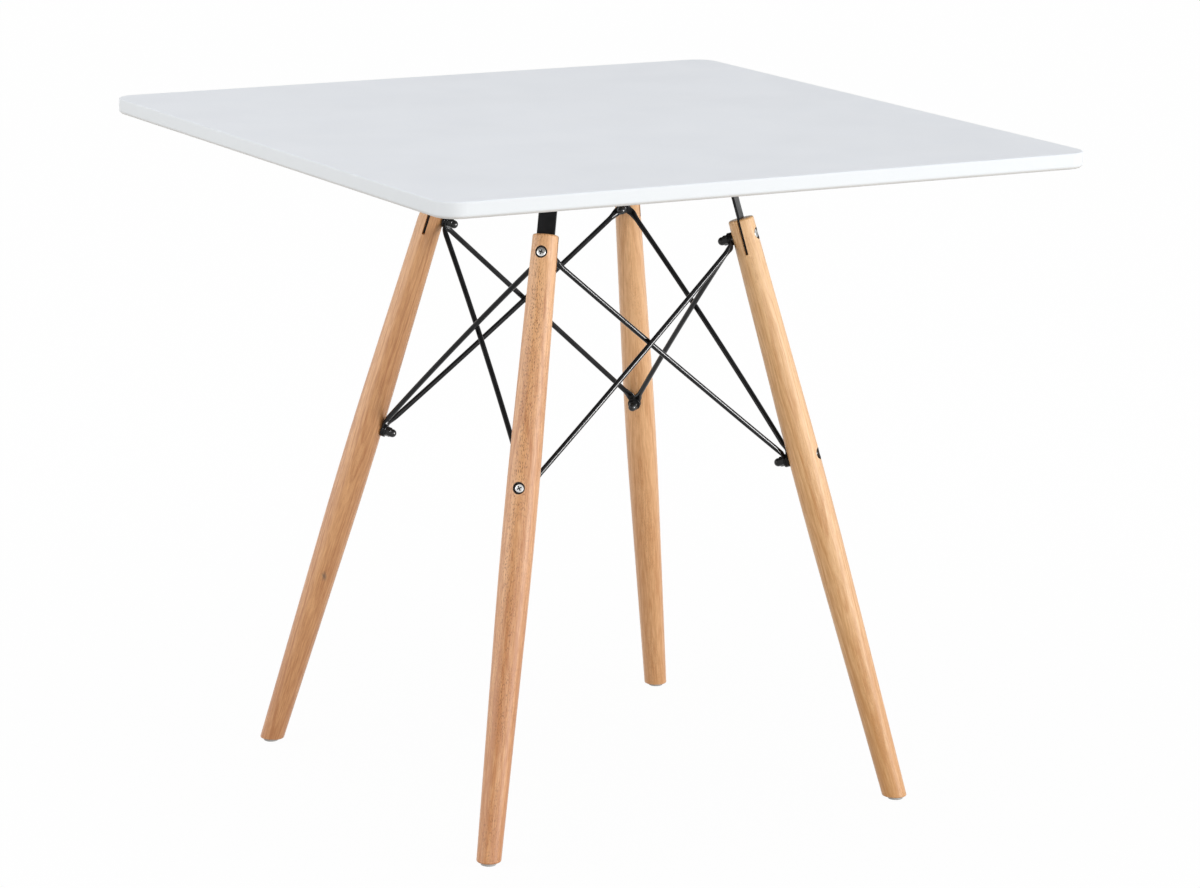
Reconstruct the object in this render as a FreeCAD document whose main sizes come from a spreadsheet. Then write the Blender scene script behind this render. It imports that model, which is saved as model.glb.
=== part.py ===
"""Square dining table: a white slab on four splayed round wooden legs, braced by crossed steel rods.

Millimetres, +Z up, X along the front edge, origin on the floor under the middle of the top.
A leg's own frame has Z up along the leg, X away from the middle of the table and Y along the saw cut,
with its origin where the leg's axis meets the floor. "along" is a distance from there up the leg.
"""
import FreeCAD
import Part
import Sketcher
import math
import os

from FreeCAD import Placement, Rotation, Vector

SIZES = {
    # Top
    "table_height": 750.0,
    "top_side": 800.0,
    "top_thickness": 18.0,
    "top_corner_radius": 26.0,
    "top_upper_edge_radius": 2.0,
    "top_lower_edge_radius": 5.0,
    # Legs: two tapers, which would meet at the belly diameter, rounded into each other
    "leg_lean": 16.7,
    "leg_end_drop": 78.8,
    "leg_foot_diameter": 26.7,
    "leg_belly_diameter": 37.3,
    "leg_end_diameter": 28.6,
    "belly_along": 363.0,
    "belly_rounding": 102.0,
    "leg_end_edge_radius": 2.2,
    "leg_foot_edge_radius": 1.4,
    "saw_cut_depth": 40.0,
    "saw_cut_clearance": 0.25,
    # Brackets
    "bracket_reach": 148.75,
    "bracket_thickness": 3.0,
    "tongue_width": 20.0,
    "tongue_end_clearance": 1.0,
    "bend_radius": 4.0,
    "flange_length": 72.0,
    "flange_width": 50.0,
    "flange_corner_radius": 6.0,
    # Wood screws that hold the brackets
    "screw_from_flange_end": 12.0,
    "screw_from_flange_side": 9.0,
    "screw_diameter": 4.0,
    "screw_length": 14.0,
    "screw_tip_length": 4.0,
    "screw_tip_diameter": 0.7,
    "screw_head_diameter": 8.0,
    "screw_head_height": 2.8,
    "screw_head_rim": 1.4,
    "screw_recess_span": 4.4,
    "screw_recess_width": 0.9,
    "screw_recess_depth": 1.5,
    "screw_clearance": 0.05,
    "screw_hole_clearance": 0.3,
    "screw_pilot_extra": 1.0,
    # Leg bolts and cap nuts
    "upper_bolt_from_end": 20.0,
    "lower_bolt_from_end": 277.0,
    "bolt_diameter": 5.9,
    "bolt_tip_length": 0.8,
    "bolt_head_diameter": 10.8,
    "bolt_head_height": 3.6,
    "bolt_head_rim": 2.4,
    "bolt_recess_span": 5.8,
    "bolt_recess_width": 1.3,
    "bolt_recess_depth": 2.2,
    "bolt_hole_clearance": 0.25,
    "counterbore_clearance": 1.2,
    "upper_counterbore_depth": 4.8,
    "lower_counterbore_depth": 6.6,
    "nut_across_flats": 10.0,
    "nut_base_height": 5.5,
    "nut_dome_diameter": 9.5,
    "nut_height": 12.0,
    "nut_corner_chamfer": 0.7,
    "nut_cap_wall": 3.1,
    "nut_thread_clearance": 0.05,
    "bolt_end_clearance": 1.8,
    # Bracing rods with flattened, drilled ends
    "rod_diameter": 6.0,
    "eyelet_diameter": 15.0,
    "eyelet_thickness": 2.7,
    "eyelet_seat_clearance": 0.05,
    "neck_width": 9.6,
    "neck_length": 14.0,
    "neck_inset": 1.7,
    "neck_relief": 0.03,
    "outer_neck_flat": 4.5,
    "inner_neck_flat": 2.0,
    "rod_crossing_clearance": 0.4,
    # Glides and their nails
    "glide_diameter": 17.0,
    "glide_thickness": 3.5,
    "glide_edge_radius": 1.0,
    "nail_diameter": 2.0,
    "nail_length": 20.0,
    "nail_tip_length": 2.5,
    "nail_head_diameter": 5.6,
    "nail_head_height": 0.8,
    "nail_head_clearance": 0.4,
    "nail_head_sink": 1.0,
    "nail_clearance": 0.05,
    "nail_pilot_extra": 1.0,
}

# The corners anticlockwise from the one between +X and +Y, and the legs left and right of each side
# seen from outside
CORNERS = ("back_right", "back_left", "front_left", "front_right")
SIDES = {
    "front": ("front_left", "front_right"),
    "right": ("front_right", "back_right"),
    "back": ("back_right", "back_left"),
    "left": ("back_left", "front_left"),
}
X_AXIS = Vector(1, 0, 0)
Y_AXIS = Vector(0, 1, 0)
Z_AXIS = Vector(0, 0, 1)
LEAST_BOW = 0.2
CUT_MARGIN = 5.0
TOLERANCE = 1e-4

# Expressions of the sheet's cells that several sketches share; "along" a leg as above
LEG_END = "(Sizes.table_height - Sizes.top_thickness - Sizes.leg_end_drop) / cos(Sizes.leg_lean)"
JOINT_CELLS = {
    "upper": f"{LEG_END} - Sizes.upper_bolt_from_end",
    "lower": f"{LEG_END} - Sizes.lower_bolt_from_end",
}
BOLT_HOLE_RADIUS = "Sizes.bolt_diameter / 2 + Sizes.bolt_hole_clearance"

doc = FreeCAD.newDocument("Table")
sheet = doc.addObject("Spreadsheet::Sheet", "Sizes")
for row, (alias, value) in enumerate(SIZES.items(), start=1):
    sheet.set(f"A{row}", alias)
    sheet.set(f"B{row}", str(value))
    sheet.setAlias(f"B{row}", alias)
doc.recompute()

nodes = []


def size(alias):
    return float(sheet.get(alias))


def bind(target, **cells):
    for name, expression in cells.items():
        target.setExpression(name, expression)


def keep(piece, name):
    """Take an object of the document as a finished piece of the table."""
    piece.Label = name
    nodes.append(piece)
    return piece


# Sketch helpers


def new_body(name):
    return doc.addObject("PartDesign::Body", name)


def new_sketch(body, plane_role, offset=0.0):
    plane = next(item for item in body.Origin.OriginFeatures if item.Role == plane_role)
    sketch = body.newObject("Sketcher::SketchObject", "Sketch")
    sketch.AttachmentSupport = [(plane, "")]
    sketch.MapMode = "FlatFace"
    sketch.AttachmentOffset = Placement(Vector(0, 0, offset), Rotation())
    return sketch


def dimension(sketch, kind, *references, cell):
    """Add a dimension whose value is an expression of the sheet's cells."""
    value = float(sketch.evalExpression(cell))
    index = sketch.addConstraint(Sketcher.Constraint(kind, *references, value))
    sketch.setExpression(f"Constraints[{index}]", cell)


def place(sketch, geometry, point, x_cell=None, y_cell=None):
    """Dimension a point of the sketch from the sketch's origin."""
    if x_cell:
        dimension(sketch, "DistanceX", -1, 1, geometry, point, cell=x_cell)
    if y_cell:
        dimension(sketch, "DistanceY", -1, 1, geometry, point, cell=y_cell)


def draw_outline(sketch, corners, arcs=()):
    """Draw a closed outline; arcs maps the index of a stretch to a point that its arc passes through."""
    arcs = dict(arcs)
    count = len(corners)
    for index, start in enumerate(corners):
        end = corners[(index + 1) % count]
        if index in arcs:
            sketch.addGeometry(Part.Arc(Vector(*start), Vector(*arcs[index]), Vector(*end)), False)
        else:
            sketch.addGeometry(Part.LineSegment(Vector(*start), Vector(*end)), False)
    ends = [end_points(sketch, index, Vector(*start)) for index, start in enumerate(corners)]
    for index in range(count):
        following = (index + 1) % count
        join = Sketcher.Constraint("Coincident", index, ends[index][1], following, ends[following][0])
        sketch.addConstraint(join)


def end_points(sketch, geometry, start):
    """The numbers of a stretch's first and last point: an arc drawn clockwise is stored from its end."""
    stored_forward = sketch.getPoint(geometry, 1).distanceToPoint(start) < TOLERANCE
    return (1, 2) if stored_forward else (2, 1)


def draw_circles(sketch, centres, radius_cell):
    radius = float(sketch.evalExpression(radius_cell))
    for centre in centres:
        index = sketch.addGeometry(Part.Circle(Vector(*centre), Z_AXIS, radius), False)
        dimension(sketch, "Radius", index, cell=radius_cell)


def revolve(body, sketch):
    feature = body.newObject("PartDesign::Revolution", "Revolution")
    feature.Profile = (sketch, [""])
    feature.ReferenceAxis = (sketch, ["V_Axis"])
    feature.Angle = 360.0
    doc.recompute()
    return feature


def pad(body, sketch, length_cell, symmetric=False):
    feature = body.newObject("PartDesign::Pad", "Pad")
    feature.Profile = (sketch, [""])
    feature.SideType = "Symmetric" if symmetric else "One side"
    bind(feature, Length=length_cell)
    doc.recompute()
    return feature


def pocket(body, sketch, length_cell=None, symmetric=False, reverse=False):
    """Cut a sketch into the body, right through where no length is given, and check that it cuts."""
    before = body.Shape.Volume
    feature = body.newObject("PartDesign::Pocket", "Pocket")
    feature.Profile = (sketch, [""])
    feature.Type = "Length" if length_cell else "ThroughAll"
    feature.SideType = "Symmetric" if symmetric else "One side"
    feature.Reversed = reverse
    if length_cell:
        bind(feature, Length=length_cell)
    doc.recompute()
    if body.Shape.Volume >= before:
        raise RuntimeError(f"{body.Name}: a pocket cuts nothing")
    return feature


def fillet(body, base, wanted, radius_cell):
    """Round the edges of a feature that the test picks."""
    edges = [f"Edge{number}" for number, edge in enumerate(base.Shape.Edges, start=1) if wanted(edge)]
    feature = body.newObject("PartDesign::Fillet", "Fillet")
    feature.Base = (base, edges)
    bind(feature, Radius=radius_cell)
    doc.recompute()
    return feature


def is_level(edge, height):
    return all(abs(vertex.Z - height) < TOLERANCE for vertex in edge.Vertexes)


def is_edge_of(edge, face):
    return any(edge.isSame(other) for other in face.Edges)


def is_upright(edge):
    box = edge.BoundBox
    return box.XLength + box.YLength < TOLERANCE < box.ZLength


# Upright plane through a leg: heights, distances from the table's middle and distances along the leg


lean = math.radians(size("leg_lean"))
underside = size("table_height") - size("top_thickness")
bend_height = underside - size("bracket_thickness") - size("bend_radius")
bend_offset = size("bracket_thickness") / 2 + size("bend_radius")
foot_reach = size("bracket_reach") + (bend_height * math.sin(lean) + bend_offset) / math.cos(lean)
flange_end = size("bracket_reach") - size("flange_length")
leg_end = (underside - size("leg_end_drop")) / math.cos(lean)
JOINTS = {joint: leg_end - size(f"{joint}_bolt_from_end") for joint in JOINT_CELLS}
belly_turn = (
    math.atan2(size("leg_belly_diameter") - size("leg_foot_diameter"), 2 * size("belly_along"))
    + math.atan2(size("leg_belly_diameter") - size("leg_end_diameter"), 2 * (leg_end - size("belly_along")))
)
nail_seat = size("nail_head_height") + size("nail_head_sink")
thread_depth = size("nut_height") - size("nut_cap_wall")


# Frames of the corners, the legs and their joints


def corner_rotation(corner):
    quarter_turns = CORNERS.index(corner) + 0.5
    return Rotation(Z_AXIS, math.degrees(quarter_turns * math.pi / 2))


def foot_point(corner):
    return corner_rotation(corner).multVec(X_AXIS * foot_reach)


def leg_placement(corner):
    tilt = Rotation(Y_AXIS, -size("leg_lean"))
    return Placement(foot_point(corner), corner_rotation(corner) * tilt)


def taper_radius(along):
    """Radius of the two tapers, before the belly is rounded."""
    belly = size("leg_belly_diameter") / 2
    if along < size("belly_along"):
        share = along / size("belly_along")
        return size("leg_foot_diameter") / 2 * (1 - share) + belly * share
    share = (along - size("belly_along")) / (leg_end - size("belly_along"))
    return belly * (1 - share) + size("leg_end_diameter") / 2 * share


def leg_radius(along):
    """Radius of the finished leg: the belly's arc falls short of the corner between the tapers."""
    from_belly = abs(along - size("belly_along"))
    rounding = size("belly_rounding")
    if from_belly >= rounding:
        return taper_radius(along)
    arc_radius = rounding / math.tan(belly_turn / 2)
    return taper_radius(along) - (rounding - from_belly) ** 2 / (2 * arc_radius)


def eyelet_seat(joint):
    """Distance from the leg's axis to the first eyelet, which lies against the widest part under it."""
    reach = size("eyelet_diameter") / 2
    along = JOINTS[joint]
    widest = max(leg_radius(along - reach), leg_radius(along), leg_radius(along + reach))
    return widest + size("eyelet_seat_clearance")


def nut_seat(joint):
    return eyelet_seat(joint) + 2 * size("eyelet_thickness")


def counterbore_floor(joint):
    return leg_radius(JOINTS[joint]) - size(f"{joint}_counterbore_depth")


def screw_points():
    """Screw positions in the flange, as distance from the table's middle and to the side."""
    near = flange_end + size("screw_from_flange_end")
    far = size("bracket_reach") - size("screw_from_flange_end")
    side = size("flange_width") / 2 - size("screw_from_flange_side")
    return [(x, y) for x in (near, far) for y in (-side, side)]


# Top


def make_top():
    body = new_body("table_top")
    sketch = new_sketch(body, "XY_Plane")
    half = size("top_side") / 2
    draw_outline(sketch, [(-half, -half), (half, -half), (half, half), (-half, half)])
    for line in (0, 2):
        sketch.addConstraint(Sketcher.Constraint("Horizontal", line))
    for line in (1, 3):
        sketch.addConstraint(Sketcher.Constraint("Vertical", line))
    sketch.addConstraint(Sketcher.Constraint("Symmetric", 0, 1, 2, 1, -1, 1))
    dimension(sketch, "DistanceX", 0, 1, 0, 2, cell="Sizes.top_side")
    dimension(sketch, "DistanceY", 1, 1, 1, 2, cell="Sizes.top_side")
    slab = pad(body, sketch, "Sizes.top_thickness")
    rounded = fillet(body, slab, is_upright, "Sizes.top_corner_radius")
    upper = fillet(
        body, rounded, lambda edge: is_level(edge, size("top_thickness")), "Sizes.top_upper_edge_radius"
    )
    fillet(body, upper, lambda edge: is_level(edge, 0), "Sizes.top_lower_edge_radius")

    holes = new_sketch(body, "XY_Plane")
    turn = corner_rotation("back_right")
    centres = [tuple(turn.multVec(Vector(x, y, 0))) for x, y in screw_points()]
    draw_circles(holes, centres, "Sizes.screw_diameter / 2 + Sizes.screw_clearance")
    pilot_depth = "Sizes.screw_length - Sizes.bracket_thickness + Sizes.screw_pilot_extra"
    drilled = pocket(body, holes, pilot_depth, reverse=True)
    pattern = body.newObject("PartDesign::PolarPattern", "PolarPattern")
    pattern.Originals = [drilled]
    pattern.Axis = (holes, ["N_Axis"])
    pattern.Angle = 360.0
    pattern.Occurrences = len(CORNERS)
    body.Tip = pattern
    body.Placement = Placement(Vector(0, 0, underside), Rotation())
    keep(body, "table_top")


# Legs


def draw_leg_profile(sketch, blank_start):
    """Half of the leg's lengthwise section: the foot's taper, the belly's arc and the upper taper."""
    belly = Vector(size("leg_belly_diameter") / 2, size("belly_along"), 0)
    foot = Vector(taper_radius(blank_start), blank_start, 0)
    end = Vector(size("leg_end_diameter") / 2, leg_end, 0)
    rounding = size("belly_rounding")
    arc_start = belly + (foot - belly).normalize() * rounding
    arc_end = belly + (end - belly).normalize() * rounding
    inward = ((arc_start - belly) + (arc_end - belly)).normalize()
    arc_middle = belly + inward * rounding * math.tan(abs(belly_turn) / 4)
    corners = [(0, blank_start), foot[:2], arc_start[:2], arc_end[:2], end[:2], (0, leg_end)]
    draw_outline(sketch, corners, {2: arc_middle[:2]})
    lower_taper, upper_taper = 1, 3
    meeting = sketch.addGeometry(Part.Point(belly), True)
    place(sketch, meeting, 1, "Sizes.leg_belly_diameter / 2", "Sizes.belly_along")
    for taper, near_point in ((lower_taper, 2), (upper_taper, 1)):
        sketch.addConstraint(Sketcher.Constraint("PointOnObject", meeting, 1, taper))
        dimension(sketch, "Distance", meeting, 1, taper, near_point, cell="Sizes.belly_rounding")
    place(sketch, upper_taper, 2, "Sizes.leg_end_diameter / 2", LEG_END)


def make_leg(corner):
    name = f"leg_{corner}"
    body = new_body(f"{name}_turned")
    foot_radius = size("leg_foot_diameter") / 2
    outer_drop = (foot_radius * math.sin(lean) - size("glide_thickness")) / math.cos(lean)
    blank_start = -outer_drop - CUT_MARGIN
    profile = new_sketch(body, "XZ_Plane")
    draw_leg_profile(profile, blank_start)
    turned = revolve(body, profile)
    fillet(body, turned, lambda edge: is_level(edge, leg_end), "Sizes.leg_end_edge_radius")

    # The foot is cut level, just above the glide
    half = size("leg_belly_diameter")
    level_cut = new_sketch(body, "XZ_Plane")
    drop = half * math.tan(lean)
    middle = size("glide_thickness") / math.cos(lean)
    low = blank_start - drop - CUT_MARGIN
    draw_outline(level_cut, [(-half, low), (half, low), (half, middle - drop), (-half, middle + drop)])
    cut_foot = pocket(body, level_cut, symmetric=True)
    foot_face = min(cut_foot.Shape.Faces, key=lambda face: face.CenterOfMass.z)
    fillet(body, cut_foot, lambda edge: is_edge_of(edge, foot_face), "Sizes.leg_foot_edge_radius")

    # Saw cut for the bracket's tongue
    saw_cut = new_sketch(body, "XZ_Plane")
    half = size("bracket_thickness") / 2 + size("saw_cut_clearance")
    bottom = leg_end - size("saw_cut_depth")
    above = leg_end + CUT_MARGIN
    draw_outline(saw_cut, [(-half, bottom), (half, bottom), (half, above), (-half, above)])
    dimension(saw_cut, "DistanceX", 0, 1, 0, 2, cell="Sizes.bracket_thickness + 2 * Sizes.saw_cut_clearance")
    place(saw_cut, 0, 2, y_cell=f"{LEG_END} - Sizes.saw_cut_depth")
    pocket(body, saw_cut, symmetric=True)

    # Bolt holes, each with a counterbore in the outside of the leg
    for joint, along in JOINTS.items():
        bore = new_sketch(body, "YZ_Plane")
        draw_circles(bore, [(0, along)], BOLT_HOLE_RADIUS)
        place(bore, 0, 3, y_cell=JOINT_CELLS[joint])
        pocket(body, bore, symmetric=True)
        counterbore = new_sketch(body, "YZ_Plane", counterbore_floor(joint))
        draw_circles(counterbore, [(0, along)], "Sizes.bolt_head_diameter / 2 + Sizes.counterbore_clearance")
        place(counterbore, 0, 3, y_cell=JOINT_CELLS[joint])
        pocket(body, counterbore, reverse=True)
    body.Placement = leg_placement(corner)
    doc.recompute()

    # Hole for the glide's nail, square to the floor
    nail_hole = doc.addObject("Part::Cylinder", f"{name}_nail_hole")
    bind(
        nail_hole,
        Radius="Sizes.nail_diameter / 2 + Sizes.nail_clearance",
        Height="Sizes.nail_head_height + Sizes.nail_head_sink + Sizes.nail_length + Sizes.nail_pilot_extra",
    )
    nail_hole.Placement = Placement(foot_point(corner), Rotation())
    drilled = doc.addObject("Part::Cut", name)
    drilled.Base = body
    drilled.Tool = nail_hole
    keep(drilled, name)


# Brackets


def make_bracket(corner):
    name = f"bracket_{corner}"
    body = new_body(f"{name}_bent")
    thickness = size("bracket_thickness")
    outward = Vector(math.cos(lean), math.sin(lean), 0)
    upward = Vector(-math.sin(lean), math.cos(lean), 0)
    half_way = Rotation(Z_AXIS, (size("leg_lean") + 90) / 2).multVec(X_AXIS)
    bend = Vector(size("bracket_reach"), bend_height, 0)
    inner_radius = size("bend_radius")
    outer_radius = inner_radius + thickness
    tongue_low = leg_end - size("saw_cut_depth") + size("tongue_end_clearance")
    low = X_AXIS * foot_reach + upward * tongue_low
    corners = [
        (flange_end, underside - thickness),
        (bend.x, underside - thickness),
        (bend + outward * inner_radius)[:2],
        (low - outward * (thickness / 2))[:2],
        (low + outward * (thickness / 2))[:2],
        (bend + outward * outer_radius)[:2],
        (bend.x, underside),
        (flange_end, underside),
    ]
    strip = new_sketch(body, "XZ_Plane")
    inner_middle = (bend + half_way * inner_radius)[:2]
    outer_middle = (bend + half_way * outer_radius)[:2]
    draw_outline(strip, corners, {1: inner_middle, 5: outer_middle})
    pad(body, strip, "Sizes.tongue_width", symmetric=True)

    plate = new_sketch(body, "XY_Plane", underside - thickness)
    half = size("flange_width") / 2
    draw_outline(plate, [(flange_end, -half), (bend.x, -half), (bend.x, half), (flange_end, half)])
    dimension(plate, "DistanceX", 0, 1, 0, 2, cell="Sizes.flange_length")
    dimension(plate, "DistanceY", 1, 1, 1, 2, cell="Sizes.flange_width")
    flange = pad(body, plate, "Sizes.bracket_thickness")
    fillet(
        body,
        flange,
        lambda edge: is_upright(edge) and abs(abs(edge.CenterOfMass.y) - half) < TOLERANCE,
        "Sizes.flange_corner_radius",
    )
    holes = new_sketch(body, "XY_Plane", underside)
    draw_circles(holes, screw_points(), "Sizes.screw_diameter / 2 + Sizes.screw_hole_clearance")
    pocket(body, holes, "Sizes.bracket_thickness")
    body.Placement = Placement(Vector(), corner_rotation(corner))
    doc.recompute()

    bolt_hole = doc.addObject("Part::Cylinder", f"{name}_bolt_hole")
    bind(bolt_hole, Radius=BOLT_HOLE_RADIUS, Height=f"Sizes.bracket_thickness + {2 * CUT_MARGIN}")
    frame = leg_placement(corner)
    start = frame.multVec(Vector(-thickness / 2 - CUT_MARGIN, 0, JOINTS["upper"]))
    bolt_hole.Placement = Placement(start, frame.Rotation * Rotation(Y_AXIS, 90))
    drilled = doc.addObject("Part::Cut", name)
    drilled.Base = body
    drilled.Tool = bolt_hole
    keep(drilled, name)


# Pan-head screws and bolts: origin under the head, head up


def make_pan_head(name, kind, length, tip_radius):
    """A screw of one kind, whose cells start with that word."""
    body = new_body(name)
    radius = size(f"{kind}_diameter") / 2
    head_radius = size(f"{kind}_head_diameter") / 2
    head_height = size(f"{kind}_head_height")
    rim = size(f"{kind}_head_rim")
    crown = head_height - rim
    dome_radius = (head_radius**2 + crown**2) / (2 * crown)
    half_angle = math.asin(head_radius / dome_radius) / 2
    dome_middle = (dome_radius * math.sin(half_angle), head_height - dome_radius * (1 - math.cos(half_angle)))
    tip_length = size(f"{kind}_tip_length")
    profile = new_sketch(body, "XZ_Plane")
    corners = [
        (0, -length),
        (tip_radius, -length),
        (radius, tip_length - length),
        (radius, 0),
        (head_radius, 0),
        (head_radius, rim),
        (0, head_height),
    ]
    draw_outline(profile, corners, {5: dome_middle})
    place(profile, 3, 1, f"Sizes.{kind}_diameter / 2")
    place(profile, 4, 1, f"Sizes.{kind}_head_diameter / 2")
    place(profile, 6, 1, y_cell=f"Sizes.{kind}_head_height")
    revolve(body, profile)

    # Cross recess
    arm = size(f"{kind}_recess_span") / 2
    half = size(f"{kind}_recess_width") / 2
    cross = new_sketch(body, "XY_Plane", head_height)
    quarter = [(half, half), (half, arm), (-half, arm)]
    turns = [Rotation(Z_AXIS, 90 * step) for step in range(4)]
    points = [turn.multVec(Vector(x, y, 0))[:2] for turn in turns for x, y in quarter]
    draw_outline(cross, points)
    pocket(body, cross, f"Sizes.{kind}_recess_depth")
    return body


def make_bracket_screws(corner):
    name = f"bracket_screws_{corner}"
    screws = []
    turn = corner_rotation(corner)
    for number, (x, y) in enumerate(screw_points(), start=1):
        tip_radius = size("screw_tip_diameter") / 2
        screw = make_pan_head(f"{name}_{number}", "screw", size("screw_length"), tip_radius)
        seat = turn.multVec(Vector(x, y, underside - size("bracket_thickness")))
        screw.Placement = Placement(seat, turn * Rotation(X_AXIS, 180))
        screws.append(screw)
    group = doc.addObject("Part::Compound", name)
    group.Links = screws
    keep(group, name)


def make_bolt(corner, joint):
    name = f"bolt_{joint}_{corner}"
    under_head = counterbore_floor(joint)
    length = under_head + nut_seat(joint) + thread_depth - size("bolt_end_clearance")
    tip_radius = size("bolt_diameter") / 2 - size("bolt_tip_length")
    body = make_pan_head(name, "bolt", length, tip_radius)
    frame = leg_placement(corner)
    seat = frame.multVec(Vector(under_head, 0, JOINTS[joint]))
    body.Placement = Placement(seat, frame.Rotation * Rotation(Y_AXIS, 90))
    keep(body, name)


# Cap nuts: origin in the seat face, dome up


def make_cap_nut(corner, joint):
    name = f"cap_nut_{joint}_{corner}"
    body = new_body(name)
    corner_radius = size("nut_across_flats") / math.sqrt(3)
    hexagon = new_sketch(body, "XY_Plane")
    turns = [Rotation(Z_AXIS, 60 * step) for step in range(6)]
    draw_outline(hexagon, [turn.multVec(X_AXIS * corner_radius)[:2] for turn in turns])
    pad(body, hexagon, "Sizes.nut_base_height")

    # Both ends of the hexagon lose their sharp corners
    base_height = size("nut_base_height")
    inner = size("nut_across_flats") / 2
    outer = corner_radius + CUT_MARGIN
    fall = size("nut_corner_chamfer") * (outer - inner) / (corner_radius - inner)
    for level, direction in ((base_height, -1), (0, 1)):
        corners = [(inner, level), (outer, level), (outer, level + direction * fall)]
        wedge = new_sketch(body, "XZ_Plane")
        draw_outline(wedge, corners)
        groove = body.newObject("PartDesign::Groove", "Groove")
        groove.Profile = (wedge, [""])
        groove.ReferenceAxis = (wedge, ["V_Axis"])
        groove.Angle = 360.0
        doc.recompute()

    dome = size("nut_dome_diameter") / 2
    shoulder = size("nut_height") - dome
    cap = new_sketch(body, "XZ_Plane")
    low = base_height / 2
    diagonal = dome / math.sqrt(2)
    corners = [(0, low), (dome, low), (dome, shoulder), (0, size("nut_height"))]
    draw_outline(cap, corners, {2: (diagonal, shoulder + diagonal)})
    place(cap, 1, 1, "Sizes.nut_dome_diameter / 2")
    place(cap, 3, 1, y_cell="Sizes.nut_height")
    revolve(body, cap)

    thread = new_sketch(body, "XY_Plane")
    draw_circles(thread, [(0, 0)], "Sizes.bolt_diameter / 2 + Sizes.nut_thread_clearance")
    pocket(body, thread, "Sizes.nut_height - Sizes.nut_cap_wall", reverse=True)
    frame = leg_placement(corner)
    seat = frame.multVec(Vector(-nut_seat(joint), 0, JOINTS[joint]))
    body.Placement = Placement(seat, frame.Rotation * Rotation(Y_AXIS, -90))
    keep(body, name)


# Bracing rods


class StrutEnd:
    """One end of a rod: the eyelet on its bolt, and the point where the flat neck bends into the rod."""

    def __init__(self, corner, joint, layer):
        frame = leg_placement(corner)
        self.outward = frame.Rotation.multVec(X_AXIS)
        offset = eyelet_seat(joint) + (layer + 0.5) * size("eyelet_thickness")
        self.middle = frame.multVec(Vector(-offset, 0, JOINTS[joint]))
        self.inner_face = self.middle - self.outward * (size("eyelet_thickness") / 2)

    def aim(self, target, flat):
        """Point the neck at another eyelet, as far as it can in its own flat plane."""
        towards = target - self.middle
        self.neck = (towards - self.outward * towards.dot(self.outward)).normalize()
        self.across = self.outward.cross(self.neck)
        self.bend = self.middle + self.neck * (size("eyelet_diameter") / 2 + flat)


def axes(x_axis, z_axis):
    """Rotation that carries X and Z to two directions square to each other."""
    return Rotation(x_axis, z_axis.cross(x_axis), z_axis, "ZXY")


def plan_side(side):
    """Both rods of a side: the outer one rises to the right seen from outside, the inner one falls."""
    left, right = SIDES[side]
    outer = (StrutEnd(left, "lower", 0), StrutEnd(right, "upper", 0))
    inner = (StrutEnd(left, "upper", 1), StrutEnd(right, "lower", 1))
    for ends, flat in ((outer, size("outer_neck_flat")), (inner, size("inner_neck_flat"))):
        ends[0].aim(ends[1].middle, flat)
        ends[1].aim(ends[0].middle, flat)
    chords = [(ends[1].bend - ends[0].bend).normalize() for ends in (outer, inner)]
    inward = chords[0].cross(chords[1]).normalize()
    if inward.dot(foot_point(left) + foot_point(right)) > 0:
        inward = -inward
    straight_gap = (inner[0].bend - outer[0].bend).dot(inward)
    wanted_gap = size("rod_diameter") + size("rod_crossing_clearance")
    bow = max((wanted_gap - straight_gap) / 2, LEAST_BOW)
    return {"outer": (outer, -inward, bow), "inner": (inner, inward, bow)}


def make_strut(name, ends, bow_direction, bow):
    """A rod bowed past the other rod of its side, with a flattened neck and an eyelet at each end."""
    chord = (ends[1].bend - ends[0].bend).normalize()
    starts = [ends[0].bend + chord * size("neck_length"), ends[1].bend - chord * size("neck_length")]
    half_span = starts[0].distanceToPoint(starts[1]) / 2
    curve_radius = (half_span**2 + bow**2) / (2 * bow)
    half_angle = math.asin(half_span / curve_radius)
    centre = (starts[0] + starts[1]) * 0.5 + bow_direction * (bow - curve_radius)

    spine = doc.addObject("Part::Circle", f"{name}_spine")
    spine.Radius = curve_radius
    spine.Angle1 = 0
    spine.Angle2 = math.degrees(2 * half_angle)
    to_start = (starts[0] - centre).normalize()
    spine.Placement = Placement(centre, axes(to_start, bow_direction.cross(chord)))
    solids = []
    bores = []
    for number, (end, start) in enumerate(zip(ends, starts)):
        facing = -1 if number else 1
        tangent = chord * math.cos(half_angle) + bow_direction * (facing * math.sin(half_angle))
        away = tangent * facing
        sections = make_neck_sections(f"{name}_neck_{number}", end, start, away)
        neck = doc.addObject("Part::Loft", f"{name}_neck_{number}")
        neck.Sections = sections
        neck.Solid = True
        neck.Ruled = True
        if number == 0:
            rod = doc.addObject("Part::Sweep", f"{name}_rod")
            rod.Sections = [sections[-1]]
            rod.Spine = (spine, ["Edge1"])
            rod.Solid = True
            solids.append(rod)
        eyelet = doc.addObject("Part::Cylinder", f"{name}_eyelet_{number}")
        bind(eyelet, Radius="Sizes.eyelet_diameter / 2", Height="Sizes.eyelet_thickness")
        bore = doc.addObject("Part::Cylinder", f"{name}_bore_{number}")
        bind(bore, Radius=BOLT_HOLE_RADIUS, Height=f"Sizes.eyelet_thickness + {2 * CUT_MARGIN}")
        upright = axes(end.across, end.outward)
        eyelet.Placement = Placement(end.inner_face, upright)
        bore.Placement = Placement(end.inner_face - end.outward * CUT_MARGIN, upright)
        solids += [neck, eyelet]
        bores.append(bore)
    joined = doc.addObject("Part::MultiFuse", f"{name}_joined")
    joined.Shapes = solids
    holes = doc.addObject("Part::Compound", f"{name}_holes")
    holes.Links = bores
    strut = doc.addObject("Part::Cut", name)
    strut.Base = joined
    strut.Tool = holes
    keep(strut, name)


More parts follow.
